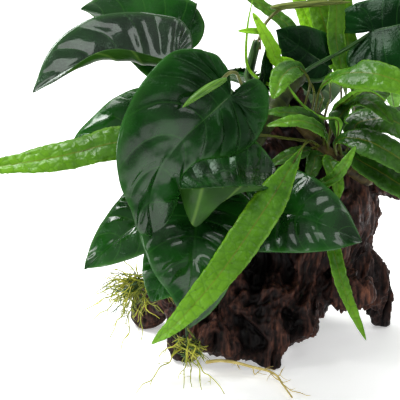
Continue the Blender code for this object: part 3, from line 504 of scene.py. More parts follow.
class Look:
    """A procedural material around one Principled shader, worked out in object coordinates in millimetres."""

    def __init__(self, name, **constants):
        self.material = bpy.data.materials.new(name)
        self.material.use_nodes = True
        self.tree = self.material.node_tree
        self.shader = self.tree.nodes["Principled BSDF"]
        for key, value in constants.items():
            self.shader.inputs[key.replace("_", " ")].default_value = value
        self.where = self.stretched(1, 1, 1)

    def node(self, kind, sockets=(), **settings):
        made = self.tree.nodes.new(kind)
        for key, value in settings.items():
            setattr(made, key, value)
        for key, value in dict(sockets).items():
            if isinstance(value, bpy.types.NodeSocket):
                self.tree.links.new(value, made.inputs[key])
            else:
                made.inputs[key].default_value = value
        return made

    def stretched(self, *stretch):
        """Object coordinates in millimetres, times a number along each axis."""
        where = self.node("ShaderNodeTexCoord").outputs["Object"]
        scale = tuple(s / MM for s in stretch)
        return self.node("ShaderNodeMapping", {"Vector": where, "Scale": scale}).outputs["Vector"]

    def uv(self):
        where = self.node("ShaderNodeTexCoord").outputs["UV"]
        return self.node("ShaderNodeSeparateXYZ", {"Vector": where}).outputs

    def noise(self, scale, detail=3.0, distortion=0.0, vector=None):
        sockets = {"Vector": vector or self.where, "Scale": scale, "Detail": detail, "Distortion": distortion}
        return self.node("ShaderNodeTexNoise", sockets).outputs["Fac"]

    def cells(self, scale, feature="F1", vector=None):
        sockets = {"Vector": vector or self.where, "Scale": scale}
        return self.node("ShaderNodeTexVoronoi", sockets, feature=feature).outputs["Distance"]

    def math(self, operation, first, second=0.0):
        return self.node("ShaderNodeMath", {0: first, 1: second}, operation=operation).outputs[0]

    def plus(self, first, second):
        return self.math("ADD", first, second)

    def times(self, first, second):
        return self.math("MULTIPLY", first, second)

    def off_middle(self, value):
        """Distance of a value from 0.5."""
        return self.math("ABSOLUTE", self.math("SUBTRACT", value, 0.5))

    def spread(self, value, low, high, to_low=0.0, to_high=1.0):
        sockets = {"Value": value, "From Min": low, "From Max": high, "To Min": to_low, "To Max": to_high}
        return self.node("ShaderNodeMapRange", sockets, interpolation_type="SMOOTHSTEP").outputs["Result"]

    def clouds(self, scale, detail=3.0, low=0.3, high=0.7, to_low=0.0, to_high=1.0):
        """Noise that is to_low where it is under low, and to_high where it is over high."""
        return self.spread(self.noise(scale, detail), low, high, to_low, to_high)

    def mix(self, share, first, second):
        mixed = self.node("ShaderNodeMix", {0: share, 6: linear(first), 7: linear(second)}, data_type="RGBA")
        return mixed.outputs[2]

    def ramp(self, value, *stops):
        made = self.node("ShaderNodeValToRGB", {"Fac": value})
        elements = made.color_ramp.elements
        while len(elements) < len(stops):
            elements.new(0.5)
        for element, (position, colour) in zip(elements, stops):
            element.position = position
            element.color = linear(colour)
        return made.outputs["Color"]

    def bump(self, height, distance, strength=1.0, under=None):
        sockets = {"Height": height, "Distance": distance * MM, "Strength": strength}
        if under:
            sockets["Normal"] = under
        return self.node("ShaderNodeBump", sockets).outputs["Normal"]

    def link(self, value, socket):
        self.tree.links.new(value, self.shader.inputs[socket])

    def finish(self, colour, roughness, normal=None):
        self.link(colour, "Base Color")
        self.link(roughness, "Roughness")
        if normal:
            self.link(normal, "Normal")
        return self.material


def vein_lines(look, uv, width):
    """1 on the side veins, which follow the rows of the leaf's UVs, and 0 between them."""
    off = look.off_middle(look.math("FRACT", look.times(uv["Y"], LEAF_VEINS)))
    return look.spread(off, 0.5 - width, 0.5)


def anubias_top(name, dark, mid, vein, dry=0.38, gloss=0.13, drained=0.5):
    """Upper face: side veins, fine relief, drops, and wet patches from drained on, toward the tip."""
    look = Look(name, IOR=1.45, Specular_IOR_Level=gloss, Specular_Tint=(0.65, 1, 0.72, 1), Coat_Roughness=0.07)
    uv = look.uv()
    off_rib = look.off_middle(uv["X"])
    rib = look.spread(off_rib, 0.0, 0.02, 1.0, 0.0)
    rim = look.spread(off_rib, 0.475, 0.5)
    lines = look.times(vein_lines(look, uv, 0.05), 0.22)
    marks = look.math("MAXIMUM", lines, look.times(look.math("MAXIMUM", rib, rim), 0.14))
    base = look.mix(look.clouds(0.035, 4.0, 0.35), dark, mid)
    colour = look.mix(marks, look.mix(look.spread(off_rib, 0.4, 0.5, 0.0, 0.4), base, vein), vein)
    net = look.spread(look.cells(0.45, "DISTANCE_TO_EDGE"), 0.0, 0.3)
    relief = look.plus(look.times(look.noise(0.55, 5.0), 0.6), look.times(net, 0.25))
    film = look.times(look.noise(1.3), look.clouds(0.06, 3.0, 0.5, 0.6))
    drops = look.times(look.spread(look.cells(0.42), 0.1, 0.26, 1.0, 0.0), look.clouds(0.09, 2.0, 0.52, 0.58))
    height = look.plus(relief, look.plus(look.times(film, 1.6), look.times(drops, 1.5)))
    wet = look.clouds(0.05, 3.0, dry, dry + 0.14, 0.0, 0.7)
    look.link(look.times(wet, look.spread(uv["Y"], drained, drained + 0.3)), "Coat Weight")
    return look.finish(colour, look.clouds(0.12, to_low=0.14, to_high=0.3), look.bump(height, 0.35, 0.5))


def anubias_under(name, dark, light):
    look = Look(name, IOR=1.4, Specular_IOR_Level=0.2)
    base = look.mix(look.clouds(0.05, 4.0), dark, light)
    colour = look.mix(look.times(vein_lines(look, look.uv(), 0.1), 0.3), base, (110, 144, 62))
    normal = look.bump(look.noise(0.8, 4.0), 0.3, 0.4)
    return look.finish(colour, look.clouds(0.1, to_low=0.38, to_high=0.5), normal)


def stalk_look(name, dark, light):
    """Petioles, with fine stripes along them."""
    look = Look(name, IOR=1.45, Specular_IOR_Level=0.22)
    uv = look.uv()
    drawn_out = look.node("ShaderNodeCombineXYZ", {"X": uv["X"], "Y": look.times(uv["Y"], 0.08)}).outputs[0]
    stripe = look.noise(9.0, 2.0, vector=drawn_out)
    colour = look.mix(look.spread(stripe, 0.35, 0.65), dark, light)
    return look.finish(colour, look.clouds(0.2, to_low=0.25, to_high=0.4), look.bump(stripe, 0.3, 0.5))


def fern_top(name, deep, mid, bright):
    """Fern frond: puckered between a net of veins with painted shade along it, brighter to rim and tip,
    brownish midrib.
    """
    look = Look(name, IOR=1.4, Specular_IOR_Level=0.22)
    uv = look.uv()
    off_rib = look.off_middle(uv["X"])
    ends = look.times(look.spread(uv["Y"], 0.35, 1.0), 0.85)
    rim = look.times(look.spread(off_rib, 0.36, 0.5), 0.7)
    base = look.mix(look.clouds(0.06, 4.0, 0.32, 0.68), deep, mid)
    colour = look.mix(look.math("MAXIMUM", ends, rim), base, bright)
    net = look.cells(0.16, "DISTANCE_TO_EDGE")
    # painted shade: darker along the sunken vein net, in the grooves the bump below makes
    colour = look.mix(look.spread(net, 0.0, 0.12, 0.35, 0.0), colour, deep)
    colour = look.mix(look.spread(off_rib, 0.0, 0.03, 0.6, 0.0), colour, (96, 92, 30))
    colour = look.mix(look.clouds(0.25, 2.0, 0.66, 0.74, 0.0, 0.45), colour, (48, 58, 18))
    height = look.plus(look.times(look.spread(net, 0.0, 0.35), 0.8), look.noise(0.5, 4.0))
    return look.finish(colour, look.clouds(0.15, to_low=0.18, to_high=0.4), look.bump(height, 0.5, 0.6))


def fern_under(name, dark, light):
    look = Look(name, IOR=1.4, Specular_IOR_Level=0.22)
    colour = look.mix(look.clouds(0.1, 4.0), dark, light)
    return look.finish(colour, look.clouds(0.2, to_low=0.4, to_high=0.55), look.bump(look.noise(0.4), 0.4, 0.5))


def wood_look():
    """Waterlogged bogwood, wet, grain near black to red-brown; painted shade darkens the clefts and lightens
    the ridges.
    """
    look = Look("driftwood", IOR=1.45, Specular_IOR_Level=0.12)
    grain = look.noise(0.5, 6.0, 0.2, look.stretched(1, 1, 0.14))
    relief_shade = look.node("ShaderNodeAttribute", attribute_name="relief_shade").outputs["Fac"]
    share = look.plus(look.times(grain, 0.75), look.times(look.noise(0.03, 4.0), 0.3))
    # painted shade: the relief darkens the clefts and lightens the ridges
    share = look.plus(share, look.times(relief_shade, 0.28))
    colour = look.ramp(share, (0.42, (8, 5, 5)), (0.6, (34, 21, 18)), (0.76, (70, 44, 36)),
                       (0.92, (108, 68, 50)))
    pits = look.cells(0.7, "SMOOTH_F1", look.stretched(1, 1, 0.2))
    streak = look.noise(1.5, vector=look.stretched(1, 1, 0.07))
    normal = look.bump(streak, 0.5, 0.7, look.bump(look.plus(grain, look.times(pits, 0.5)), 0.8, 0.6))
    return look.finish(colour, look.clouds(0.2, 4.0, 0.35, 0.65, 0.3, 0.62), normal)


def root_look(name, green, tan, tip):
    look = Look(name, IOR=1.4)
    colour = look.mix(look.clouds(0.09, 3.0, 0.35, 0.65), green, tan)
    colour = look.mix(look.clouds(0.3, 2.0, 0.55, 0.7, 0.0, 0.6), colour, tip)
    return look.finish(colour, look.clouds(0.3, to_low=0.4, to_high=0.6), look.bump(look.noise(1.2), 0.2, 0.4))


def rhizome_look(name, dark, light):
    look = Look(name, IOR=1.4, Specular_IOR_Level=0.2)
    ring = look.off_middle(look.math("FRACT", look.times(look.uv()["Y"], 1.7)))
    share = look.plus(look.clouds(0.15, 4.0, to_high=0.8), look.spread(ring, 0.4, 0.5, 0.0, 0.3))
    normal = look.bump(look.noise(0.4, 5.0), 0.6, 0.8)
    return look.finish(look.mix(share, dark, light), look.clouds(0.2, to_low=0.35, to_high=0.6), normal)


def floor_look():
    look = Look("floor", IOR=1.3, Emission_Color=(1, 1, 1, 1), Emission_Strength=0.35)
    tone = look.clouds(0.01, 2.0)
    colour = look.mix(tone, (247, 247, 247), (249.3, 249.3, 249.3))
    return look.finish(colour, look.spread(tone, 0, 1, 0.85, 0.9))


def build_leaf(number, leaf, looks):
    """Blade, midrib and petiole of one anubias leaf, in place of its plain solid."""
    seed = number * 1.37
    spine = Spine(leaf["midrib"], leaf["faces"], lead=1)
    row = np.linspace(0, 1, LEAF_ROWS)[:, None]
    halves = []
    for side in (1, 0):
        r = np.linspace(0, 1, LEAF_COLUMNS)[None, :]
        points, x, y = blade_half(leaf, spine, row, r, side, seed)
        order = slice(None, None, -1) if side else slice(1, None)
        halves.append([grid[:, order] for grid in (points, x, y, np.broadcast_to(r, x.shape))])
    points, x, y, r = (np.concatenate(pair, axis=1) for pair in zip(*halves))
    row = np.broadcast_to(row, r.shape)
    normal = grid_normals(points, spine.read(spine.up, x * spine.length))
    ends = arch(row) ** 0.5
    swell = np.abs(arch(row * LEAF_VEINS + 0.25 * wander(row * 6, seed))) ** 0.9 - 0.6
    body = smoothstep(0.02, 0.3, r) * (1 - 0.75 * smoothstep(0.65, 1, r))
    strong = 1 + 0.8 * speckle(points, 0.02, seed)
    rippled = RIPPLE_HEIGHT * LEAF_RIPPLES.get(number, 1) * min(1, leaf["widths"][0] / 32)
    height = rippled * swell * body * ends * strong
    height = height - RIB_GROOVE * np.exp(-((y / 1.6) ** 2)) * smoothstep(0, 0.1, x)
    height = height + RIM_WAVE * wander(row * 4 + r * 0.5, seed + 3) * r**3 * ends
    height = height + 0.7 * speckle(points, 0.05, seed + 9) * smoothstep(0, 0.3, r) * ends
    thickness = BLADE_THICKNESS * (1 - 0.6 * smoothstep(0.85, 1, r)) * np.minimum(1, 0.35 + ends)
    uv = uv_grid(0.5 + 0.5 * r * np.where(np.arange(r.shape[1]) < LEAF_COLUMNS, -1, 1), row)
    form = Form()
    skin(form, points + normal * height[..., None], normal, thickness, uv)
    way = [on_path(ANUBIAS_RHIZOME, leaf["node"]), *reversed(leaf["petiole"]), spine.point(-1.5, up=-2.0)]
    way = list(smooth_line(way, 8)) + [spine.point(d, up=-1.3) for d in (1.5, 4, 8)]
    share = np.linspace(0.14, 0.88, 16)
    ribs = spine.point(share * spine.length, up=-0.9 - 0.4 * (1 - share))
    line = np.vstack([way, ribs])
    radii = np.concatenate([np.full(len(way), PETIOLE_RADIUS), np.linspace(1.0, 0.3, len(ribs))])
    radii[:2] *= 1.5
    form.tube(line, radii, 2)
    place(form.to_object(f"broad_leaf_{number:02d}", looks), "anubias_green", f"anubias_leaf_{number:02d}")


def build_cupped_leaf(looks):
    """The leaf under the big one: a cupped blade, and the outside that hangs from its near rim to the tip."""
    u = np.linspace(0, 1, 90)
    lines = (smooth_line(CUPPED_LEAF[key], 14) for key in ("back", "front", "hem"))
    back, front, hem = (read_at(line, np.linspace(0, 1, len(line)), u) for line in lines)
    v = np.linspace(0, 1, 44)[None, :, None]
    u = u[:, None]
    inner = back[:, None] * (1 - v) + front[:, None] * v
    v = v[..., 0]
    fan = u + (0.35 - 0.45 * (1 - v)) * (u - 0.55)
    ripple = np.abs(arch(8 * fan)) ** 0.8 - 0.6
    inner[..., 2] -= CUP_DEPTH * arch(v) * arch(np.minimum(u * 1.1, 1)) ** 0.7
    inner[..., 2] += (CUP_RIPPLE * ripple + 1.2 * np.exp(-(((u - 0.55) / 0.02) ** 2))) * arch(v) ** 0.7
    inner[..., 2] += 0.6 * speckle(inner, 0.06, 3.0) * arch(v)
    up = np.broadcast_to(np.array([0, 0, 1.0]), inner.shape)
    form = Form()
    skin(form, inner, grid_normals(inner, up), np.full(inner.shape[:2], 0.8), uv_grid(v, fan))
    w = np.linspace(0, 1, 28)[None, :, None]
    outer = front[:, None] * (1 - w) + hem[:, None] * w
    w = w[..., 0]
    outer[..., 1] -= 2.5 * arch(w) * arch(u) ** 0.5
    outer = outer + 0.3 * speckle(outer, 0.12, 6.0)[..., None] * arch(w)[..., None]
    facing = np.broadcast_to(np.array([0, -1.0, 0]), outer.shape)
    uv = uv_grid(0.2 + 0.25 * w, 0.2 + 0.3 * u)
    skin(form, outer, grid_normals(outer, facing), np.full(outer.shape[:2], 0.7), uv, top=1, under=0)
    way = smooth_line([on_path(ANUBIAS_RHIZOME, 0.58), (-25, -46, 136), (-27, -52, 141), (-27, -60, 139)], 8)
    form.tube(way, PETIOLE_RADIUS, 2)
    place(form.to_object("broad_leaf_07", looks), "anubias_green", "anubias_leaf_07", "anubias_leaf_08")


def build_frond(number, frond, looks):
    """One fern frond: stipe and midrib as one tube, and the puckered blade."""
    seed = number * 2.11
    path, faces, widest, stipe, node = frond
    spine = Spine([on_path(FERN_RHIZOME, node), *path], faces)
    rows = int(np.clip(spine.length / 1.3, 24, 150))
    row = np.linspace(0, 1, rows)[:, None]
    t = np.maximum(0, (row - stipe) / (1 - stipe))
    rise = np.minimum(1, t / 0.42)
    fall = np.clip((t - 0.42) / 0.58, 0, 1)
    body = np.where(t < 0.42, rise**2 * (3 - 2 * rise), (1 - fall**2) ** 0.7)
    half = np.maximum(widest * body * (1 + 0.06 * wander(row * spine.length / 14, seed)), 0.35 * (row < 0.98))
    c = np.linspace(-1, 1, FROND_COLUMNS)[None, :]
    off = np.abs(c)
    reach, lift = curl(off, 0.15, -0.5 * half / widest)
    distance = row * spine.length
    jag = 0.5 * wander(distance / 2.5, seed + 2) * c**4 * np.minimum(1, half / 4)
    wave = 0.16 * half * wander(distance / 16 + np.sign(c) * 5, seed + 1) * c**2
    points = spine.point(distance, np.sign(c) * (reach * half + jag), lift * half + wave)
    normal = grid_normals(points, spine.read(spine.up, distance + 0 * c))
    lane = off * half
    drift = 1.6 * speckle(points, 0.12, seed + 5)
    cell = np.abs(arch((distance + 0.6 * lane + drift) / PUCKER_LENGTH)) ** 0.7
    cell = cell * (0.35 + 0.65 * np.abs(arch((lane + 0.4 * drift) / PUCKER_WIDTH)))
    height = PUCKER_HEIGHT * (cell - 0.4) * smoothstep(0.05, 0.35, off) * (1 - 0.6 * smoothstep(0.8, 1, off))
    height = height + 0.5 * speckle(points, 0.2, seed)
    height = height * np.minimum(1, half / 4) * (1 - smoothstep(0.9, 1, row))
    height = height - 0.35 * np.exp(-((lane / 1.3) ** 2)) * np.minimum(1, half / 3)
    thickness = FROND_THICKNESS * (1 - 0.5 * off**3) * (1 - 0.6 * smoothstep(0.85, 1, row))
    form = Form()
    skin(form, points + normal * height[..., None], normal, thickness, uv_grid(0.5 + 0.5 * c, t))
    rib = np.linspace(0, 0.97, max(12, rows // 3))
    blade = smoothstep(stipe, stipe + 0.2, rib)
    radii = STIPE_HALF_WIDTH * (1 - 0.35 * blade - 0.45 * rib)
    form.tube(spine.point(rib * spine.length, up=-0.3 - 0.55 * blade), radii, 2, sides=8)
    for shoot in SHOOTS.get(number, []):
        add_shoot(form, *shoot)
    place(form.to_object(f"java_frond_{number:02d}", looks), "fern_green", f"fern_frond_{number:02d}")


def add_shoot(form, path, width):
    """A narrow young blade with a fine midrib."""
    spine = Spine(path, [(0, -0.9, 0.4), (0, -0.9, 0.4)])
    row = np.linspace(0, 1, 40)[:, None]
    c = np.linspace(-1, 1, 7)[None, :]
    half = width * arch(np.clip(0.2 + 0.8 * row, 0, 1)) ** 0.7 + 0.1
    points = spine.point(row * spine.length, c * half, 0.12 * half * c**2)
    normal = grid_normals(points, spine.read(spine.up, row * spine.length + 0 * c))
    skin(form, points, normal, np.full(normal.shape[:2], 0.5), uv_grid(0.5 + 0.5 * c, row))
    share = row[:, 0]
    form.tube(spine.point(share * spine.length, up=-0.3), 0.5 - 0.35 * share, 2, sides=6)


def build_wood(look):
    """One rough skin over the whole stump: remeshed from its solids, then drawn into ridges along the grain."""
    names = ["wood_trunk", "wood_shoulder_left", "wood_arm_right", "wood_leg_front", "wood_leg_right",
             "wood_leg_left_front", "wood_leg_left", "wood_leg_back", "wood_heel"]
    bm = bmesh.new()
    for name in names:
        bm.from_mesh(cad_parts[name].data)
    for x, y, z, wide, deep, tall in WOOD_BURLS:
        size = Matrix.Diagonal((wide * MM, deep * MM, tall * MM, 1))
        where = Matrix.Translation(Vector((x, y, z)) * MM)
        bmesh.ops.create_icosphere(bm, subdivisions=3, radius=1, matrix=where @ size)
    mesh = bpy.data.meshes.new("driftwood")
    bm.to_mesh(mesh)
    bm.free()
    obj = add_object("driftwood", mesh)
    remesh = obj.modifiers.new("Remesh", "REMESH")
    remesh.mode = "VOXEL"
    remesh.voxel_size = WOOD_VOXEL * MM
    smooth = obj.modifiers.new("Smooth", "SMOOTH")
    smooth.iterations = WOOD_SMOOTHING
    smooth.factor = 0.6
    bpy.context.view_layer.update()
    graph = bpy.context.evaluated_depsgraph_get()
    mesh = bpy.data.meshes.new_from_object(obj.evaluated_get(graph))
    obj.modifiers.clear()
    obj.data = mesh
    points = np.empty(len(mesh.vertices) * 3, np.float32)
    normals = np.empty_like(points)
    mesh.vertices.foreach_get("co", points)
    mesh.vertex_normals.foreach_get("vector", normals)
    points = points.reshape(-1, 3).astype(float) / MM
    normals = normals.reshape(-1, 3).astype(float)
    sway = [speckle(points, 0.014, 3.1), speckle(points, 0.014, 8.4), 0 * points[:, 0]]
    bent = points + 16 * np.stack(sway, -1)
    folds = 1 - np.abs(speckle(bent * (1, 1, 0.16), 0.045, 1.7, 2)) * 2.6
    grain = 1 - np.abs(speckle(bent * (1, 1, 0.1), 0.17, 2.9, 2)) * 2.4
    fine = speckle(bent * (1, 1, 0.3), 0.45, 4.9, 3)
    clefts = smoothstep(0.22, 0.4, speckle(bent * (1, 1, 0.2), 0.042, 12.3, 2))
    shape = FOLD_HEIGHT * (folds - 0.6) + GRAIN_HEIGHT * (grain - 0.5) + FINE_HEIGHT * fine
    shape += 0.8 - CLEFT_DEPTH * clefts
    ground = smoothstep(0.5, 6, points[:, 2])
    points += normals * (shape * (0.25 + 0.75 * ground))[:, None]
    points[:, 2] = np.maximum(points[:, 2], 0.0)
    mesh.vertices.foreach_set("co", (points * MM).astype(np.float32).ravel())
    # the relief, kept for the material, which paints shade into the clefts and light onto the ridges
    relief_shade = np.clip(0.4 * folds + 0.35 * grain + 0.4 * fine - clefts, -1, 1)
    mesh.attributes.new("relief_shade", "FLOAT", "POINT").data.foreach_set("value", relief_shade.astype(np.float32))
    mesh.update()
    mesh.materials.clear()
    mesh.materials.append(look)
    mesh.shade_smooth()
    place(obj, "driftwood", *names)


def build_rhizome(name, title, path, radius, look, slot, seed):
    line = smooth_line(path, 24)
    run = run_of(line)
    knots = 1 + 0.1 * np.abs(np.sin(run / 4.5)) + 0.12 * wander(run / 9, seed)
    radii = radius * knots * smoothstep(-2, 5, run) * smoothstep(-2, 5, run[-1] - run)
    form = Form()
    form.tube(line, radii, 0, sides=26)
    place(form.to_object(title, [look]), slot, name)


def wiggle(rng, start, heading, length, droop, loose):
    """A root's line: it keeps its heading but strays, sinks with droop and never goes below the floor."""
    points = [np.asarray(start, float)]
    heading = np.asarray(heading, float) / np.linalg.norm(heading)
    for _ in range(max(3, int(length / ROOT_STEP))):
        heading = heading + rng.normal(0, loose, 3) * 0.6 + np.array([0, 0, -droop])
        heading /= np.linalg.norm(heading)
        here = points[-1] + heading * ROOT_STEP
        if here[2] < ROOT_CLEARANCE:
            here[2] = ROOT_CLEARANCE
            heading[2] = abs(heading[2]) * 0.1
        points.append(here)
    return np.array(points)


def add_root(form, rng, start, heading, length, radius, droop, slot=0, twigs=3, loose=0.35):
    """A fine root that tapers, with a few side rootlets."""
    line = wiggle(rng, start, heading, length, droop, loose)
    form.tube(smooth_line(line, 2), np.linspace(radius, radius * 0.45, len(line) * 2 - 1), slot, sides=5)
    for _ in range(twigs):
        k = rng.integers(2, len(line) - 1)
        side = (line[k] - line[k - 1]) + rng.normal(0, 1.3, 3)
        twig = wiggle(rng, line[k], side, length * rng.uniform(0.12, 0.3), droop, loose)
        form.tube(twig, np.linspace(radius * 0.6, radius * 0.3, len(twig)), slot, sides=4)


def build_tuft(name, title, looks, seed):
    """Fine roots that fan out from a crown: a few run to tips of their own, and many short ones fill in."""
    tuft = ROOT_FANS[name]
    rng = np.random.default_rng(seed)
    form = Form()
    base, crown, size = (np.array(tuft[key], float) for key in ("base", "crown", "size"))
    fans = np.array(tuft["fan"], float)
    for k in range(tuft["stems"]):
        line = [base + rng.normal(0, 1.2, 3), (base + crown) / 2 + rng.normal(0, 2, 3),
                crown + rng.normal(0, 0.3, 3) * size]
        form.tube(smooth_line(line, 6), np.linspace(0.9, 0.55, 13), 2 - k % 2, sides=6)
    for tip in tuft["tips"]:
        start = crown + rng.normal(0, 0.4, 3) * size
        way = np.array(tip, float) - start
        line = np.array([start + way * share + (rng.normal(0, 1.6, 3) + (0, 0, 3)) * arch(share)
                         for share in np.linspace(0, 1, 8)])
        line[:, 2] = np.maximum(line[:, 2], ROOT_CLEARANCE)
        form.tube(smooth_line(line, 4), np.linspace(0.55, 0.26, 29), 0, sides=6)
        for k in (3, 5):
            heading = way / 20 + rng.normal(0, 0.8, 3)
            add_root(form, rng, line[k], heading, rng.uniform(5, 11), 0.3, 0.03, twigs=1)
    for _ in range(tuft["count"]):
        share = rng.uniform(0, 1)
        heading = fans[0] * (1 - share) + fans[1] * share + rng.normal(0, 0.28, 3)
        start = crown + rng.normal(0, 0.45, 3) * size
        slot = int(rng.choice(len(looks), p=tuft["mix"]))
        length, radius = rng.uniform(*tuft["reach"]), rng.uniform(0.32, 0.6)
        add_root(form, rng, start, heading, length, radius, 0.03, slot, loose=0.34)
    place(form.to_object(title, looks), "roots", name)


def build_long_root(look):
    rng = np.random.default_rng(5)
    form = Form()
    form.tube(smooth_line(LONG_ROOT, 8), np.linspace(1.15, 0.55, 57), 0, sides=10)
    for k in (1, 3, 4, 5, 6):
        heading = rng.uniform(-0.3, 1), rng.uniform(-1, 0.3), -0.1
        add_root(form, rng, LONG_ROOT[k], heading, rng.uniform(12, 24), 0.42, 0.02, twigs=2)
    place(form.to_object("root_long", [look]), "roots", "long_root")


def build_new_leaf(name, title, looks):
    """A leaf still rolled up: its stalk, its roll and the free lip beside it."""
    leaf = NEW_LEAVES[name]
    form = Form()
    start = [on_path(ANUBIAS_RHIZOME, leaf["node"])] if leaf["node"] else []
    form.tube(smooth_line([*start, *leaf["petiole"]], 8), 1.05, 1, sides=12)
    line = smooth_line(leaf["blade"], 10)
    share = np.linspace(0, 1, len(line))
    radii = 6.2 * (share + 0.03) ** 0.45 * (1.01 - share) ** 0.75
    form.tube(line, radii, 0, sides=18, flat=0.8)
    lip = smooth_line(np.asarray(leaf["blade"]) + (0.6, -1.4, 0.9), 10)
    form.tube(lip[3:-4], radii[3:-4] * 0.55, 0, sides=12)
    place(form.to_object(title, looks), "new_leaf", name)


def build_sheath(looks):
    """What is left of an old leaf: a thick stub with a torn rim."""
    form = Form()
    way = smooth_line([on_path(ANUBIAS_RHIZOME, 0.13), *SHEATH], 10)
    share = np.linspace(0, 1, len(way))
    radii = 1.4 + 2.3 * smoothstep(0.3, 0.6, share) - 0.4 * smoothstep(0.9, 1, share)
    form.tube(way, radii, 0, sides=20, flat=0.8)
    for turn in np.linspace(0, 2 * math.pi, 6)[:-1]:
        side = np.array([math.cos(turn) * 2.3, math.sin(turn) * 1.9, 0])
        top = way[-1] + side
        shred = smooth_line([top - (0, 0, 5), top - (0, 0, 1), top + (0.3, 0, 1.6)], 4)
        form.tube(shred, np.linspace(0.9, 0.3, 9), 1, sides=5)
    place(form.to_object("old_leaf_sheath", looks), "old_leaf", "leaf_sheath")


def softbox(name, place_mm, target_mm, size_mm, power):
    light = bpy.data.lights.new(name, "AREA")
    light.shape = "RECTANGLE"
    light.size, light.size_y = (s * MM for s in size_mm)
    light.energy = power
    obj = add_object(name, light)
    obj.location = Vector(place_mm) * MM
    obj.rotation_euler = (Vector(target_mm) - Vector(place_mm)).to_track_quat("-Z", "Y").to_euler()


def build_camera():
    rise = math.radians(RISE_DEG)
    camera = bpy.data.cameras.new("camera")
    camera.sensor_width = SENSOR_WIDTH
    camera.lens = SENSOR_WIDTH * DISTANCE / FRAME_WIDTH
    eye = add_object("camera", camera)
    eye.location = (Vector(TARGET) + DISTANCE * Vector((0, -math.cos(rise), math.sin(rise)))) * MM
    eye.rotation_euler = (math.pi / 2 - rise, 0, 0)
    bpy.context.scene.camera = eye


def build_studio():
    """Pale floor, white surroundings and large soft lights: name, place, aim, size and power in watts."""
    softbox("overhead", (-1100, 450, 2400), (0, 0, 0), (1200, 1200), 95)
    softbox("behind", (0, 2600, 2200), (0, 900, 0), (3000, 900), 14)
    softbox("sheen", (480, -1350, 2150), (-100, 0, 180), (800, 650), 7)
    softbox("front", (-500, -2100, 800), (0, 0, 100), (800, 420), 4.5)
    softbox("left", (-2200, -1000, 500), (0, 0, 100), (500, 1500), 26)
    softbox("right", (1900, -600, 1400), (0, 0, 60), (900, 900), 9)
    world = bpy.data.worlds.new("studio")
    world.use_nodes = True
    background = world.node_tree.nodes["Background"]
    background.inputs["Color"].default_value = (1, 1, 1, 1)
    background.inputs["Strength"].default_value = 0.45
    bpy.context.scene.world = world
    bpy.context.scene.view_settings.view_transform = "Standard"
    size, drop = FLOOR_HALF_SIZE * MM, FLOOR_DROP * MM
    mesh = bpy.data.meshes.new("floor")
    corners = [(-size, -size, 0), (size, -size, 0), (size, size, 0), (-size, size, 0)]
    mesh.from_pydata(corners, [], [(0, 1, 2, 3)])
    mesh.materials.append(floor_look())
    floor = add_object("floor", mesh)
    floor.location.z = -drop


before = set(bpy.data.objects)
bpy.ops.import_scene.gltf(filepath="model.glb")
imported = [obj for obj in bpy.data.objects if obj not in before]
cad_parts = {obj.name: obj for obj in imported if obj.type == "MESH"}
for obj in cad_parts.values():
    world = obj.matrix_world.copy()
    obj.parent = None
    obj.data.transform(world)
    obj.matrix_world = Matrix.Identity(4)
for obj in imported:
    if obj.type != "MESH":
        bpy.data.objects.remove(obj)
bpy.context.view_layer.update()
build_camera()
build_studio()

petiole = stalk_look("petiole", (16, 42, 12), (44, 80, 28))
under = anubias_under("anubias_underside", (20, 50, 7), (38, 76, 15))
dark_leaf = anubias_top("anubias_dark", (6, 30, 6), (16, 58, 13), (46, 96, 34))
wet_leaf = anubias_top("anubias_wet", (5, 22, 7), (14, 46, 14), (46, 88, 36), dry=0.15, gloss=0.3, drained=-1)
dry_leaf = anubias_top("anubias_dry", (5, 24, 7), (12, 46, 14), (40, 84, 32), dry=0.9, gloss=0.06)
mid_leaf = anubias_top("anubias_mid", (8, 48, 6), (22, 74, 12), (60, 112, 36))
build_cupped_leaf([dark_leaf, under, petiole])
for number, leaf in LEAVES.items():
    top = dark_leaf
    for look, numbers in ((mid_leaf, MID_GREEN_LEAVES), (wet_leaf, WET_LEAVES), (dry_leaf, DRY_LEAVES)):
        if number in numbers:
            top = look
    build_leaf(number, leaf, [top, under, petiole])

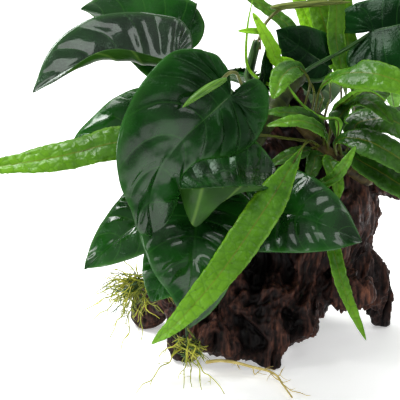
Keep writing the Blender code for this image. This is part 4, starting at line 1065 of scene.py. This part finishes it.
stipe = stalk_look("stipe", (44, 42, 14), (86, 98, 30))
fern_below = fern_under("fern_underside", (76, 130, 30), (118, 172, 54))
# Tones of one fern look: the greens differ of their own, and the dark tone is also painted shade on the fronds
# under others
bright_fern = fern_top("fern_bright", (42, 84, 10), (66, 112, 18), (98, 146, 28))
mid_fern = fern_top("fern_mid", (30, 68, 10), (54, 96, 20), (86, 134, 30))
young_fern = fern_top("fern_young", (90, 144, 16), (122, 182, 28), (150, 208, 44))
dark_shaded_fern = fern_top("fern_dark_shaded", (18, 46, 8), (36, 72, 16), (60, 104, 26))
for number, frond in enumerate(FRONDS, 1):
    top = mid_fern
    for look, numbers in ((dark_shaded_fern, DARK_SHADED_FRONDS), (bright_fern, BRIGHT_FRONDS), (young_fern, YOUNG_FRONDS)):
        if number in numbers:
            top = look
    build_frond(number, frond, [top, fern_below, stipe])

build_wood(wood_look())
build_rhizome("anubias_rhizome", "broad_rhizome", ANUBIAS_RHIZOME, ANUBIAS_RHIZOME_RADIUS,
              rhizome_look("rhizome_green", (24, 34, 12), (64, 76, 32)), "rhizome", 1.0)
build_rhizome("fern_rhizome", "java_rhizome", FERN_RHIZOME, FERN_RHIZOME_RADIUS,
              rhizome_look("rhizome_brown", (26, 20, 12), (84, 72, 34)), "fern_rhizome", 2.0)

new_green = stalk_look("new_leaf", (46, 84, 20), (86, 126, 42))
new_olive = stalk_look("new_leaf_olive", (62, 74, 26), (112, 124, 58))
new_stalk = stalk_look("new_stalk", (66, 72, 30), (104, 108, 56))
build_new_leaf("new_leaf_low", "rolled_leaf_low", [new_green, new_stalk])
build_new_leaf("new_leaf_top", "rolled_leaf_top", [new_olive, new_stalk])
build_sheath([stalk_look("sheath", (20, 44, 18), (66, 98, 50)),
              stalk_look("sheath_dry", (96, 78, 44), (168, 146, 104))])

root_looks = [root_look("roots_yellow", (132, 142, 30), (184, 184, 58), (214, 206, 108)),
              root_look("roots_olive", (92, 108, 26), (142, 148, 48), (180, 176, 92)),
              root_look("roots_green", (24, 56, 22), (56, 92, 34), (96, 120, 50))]
build_tuft("root_tuft_left", "roots_left", root_looks, 11)
build_tuft("root_tuft_front", "roots_front", root_looks, 12)
build_long_root(root_look("root_tan", (168, 148, 72), (206, 188, 118), (220, 206, 150)))
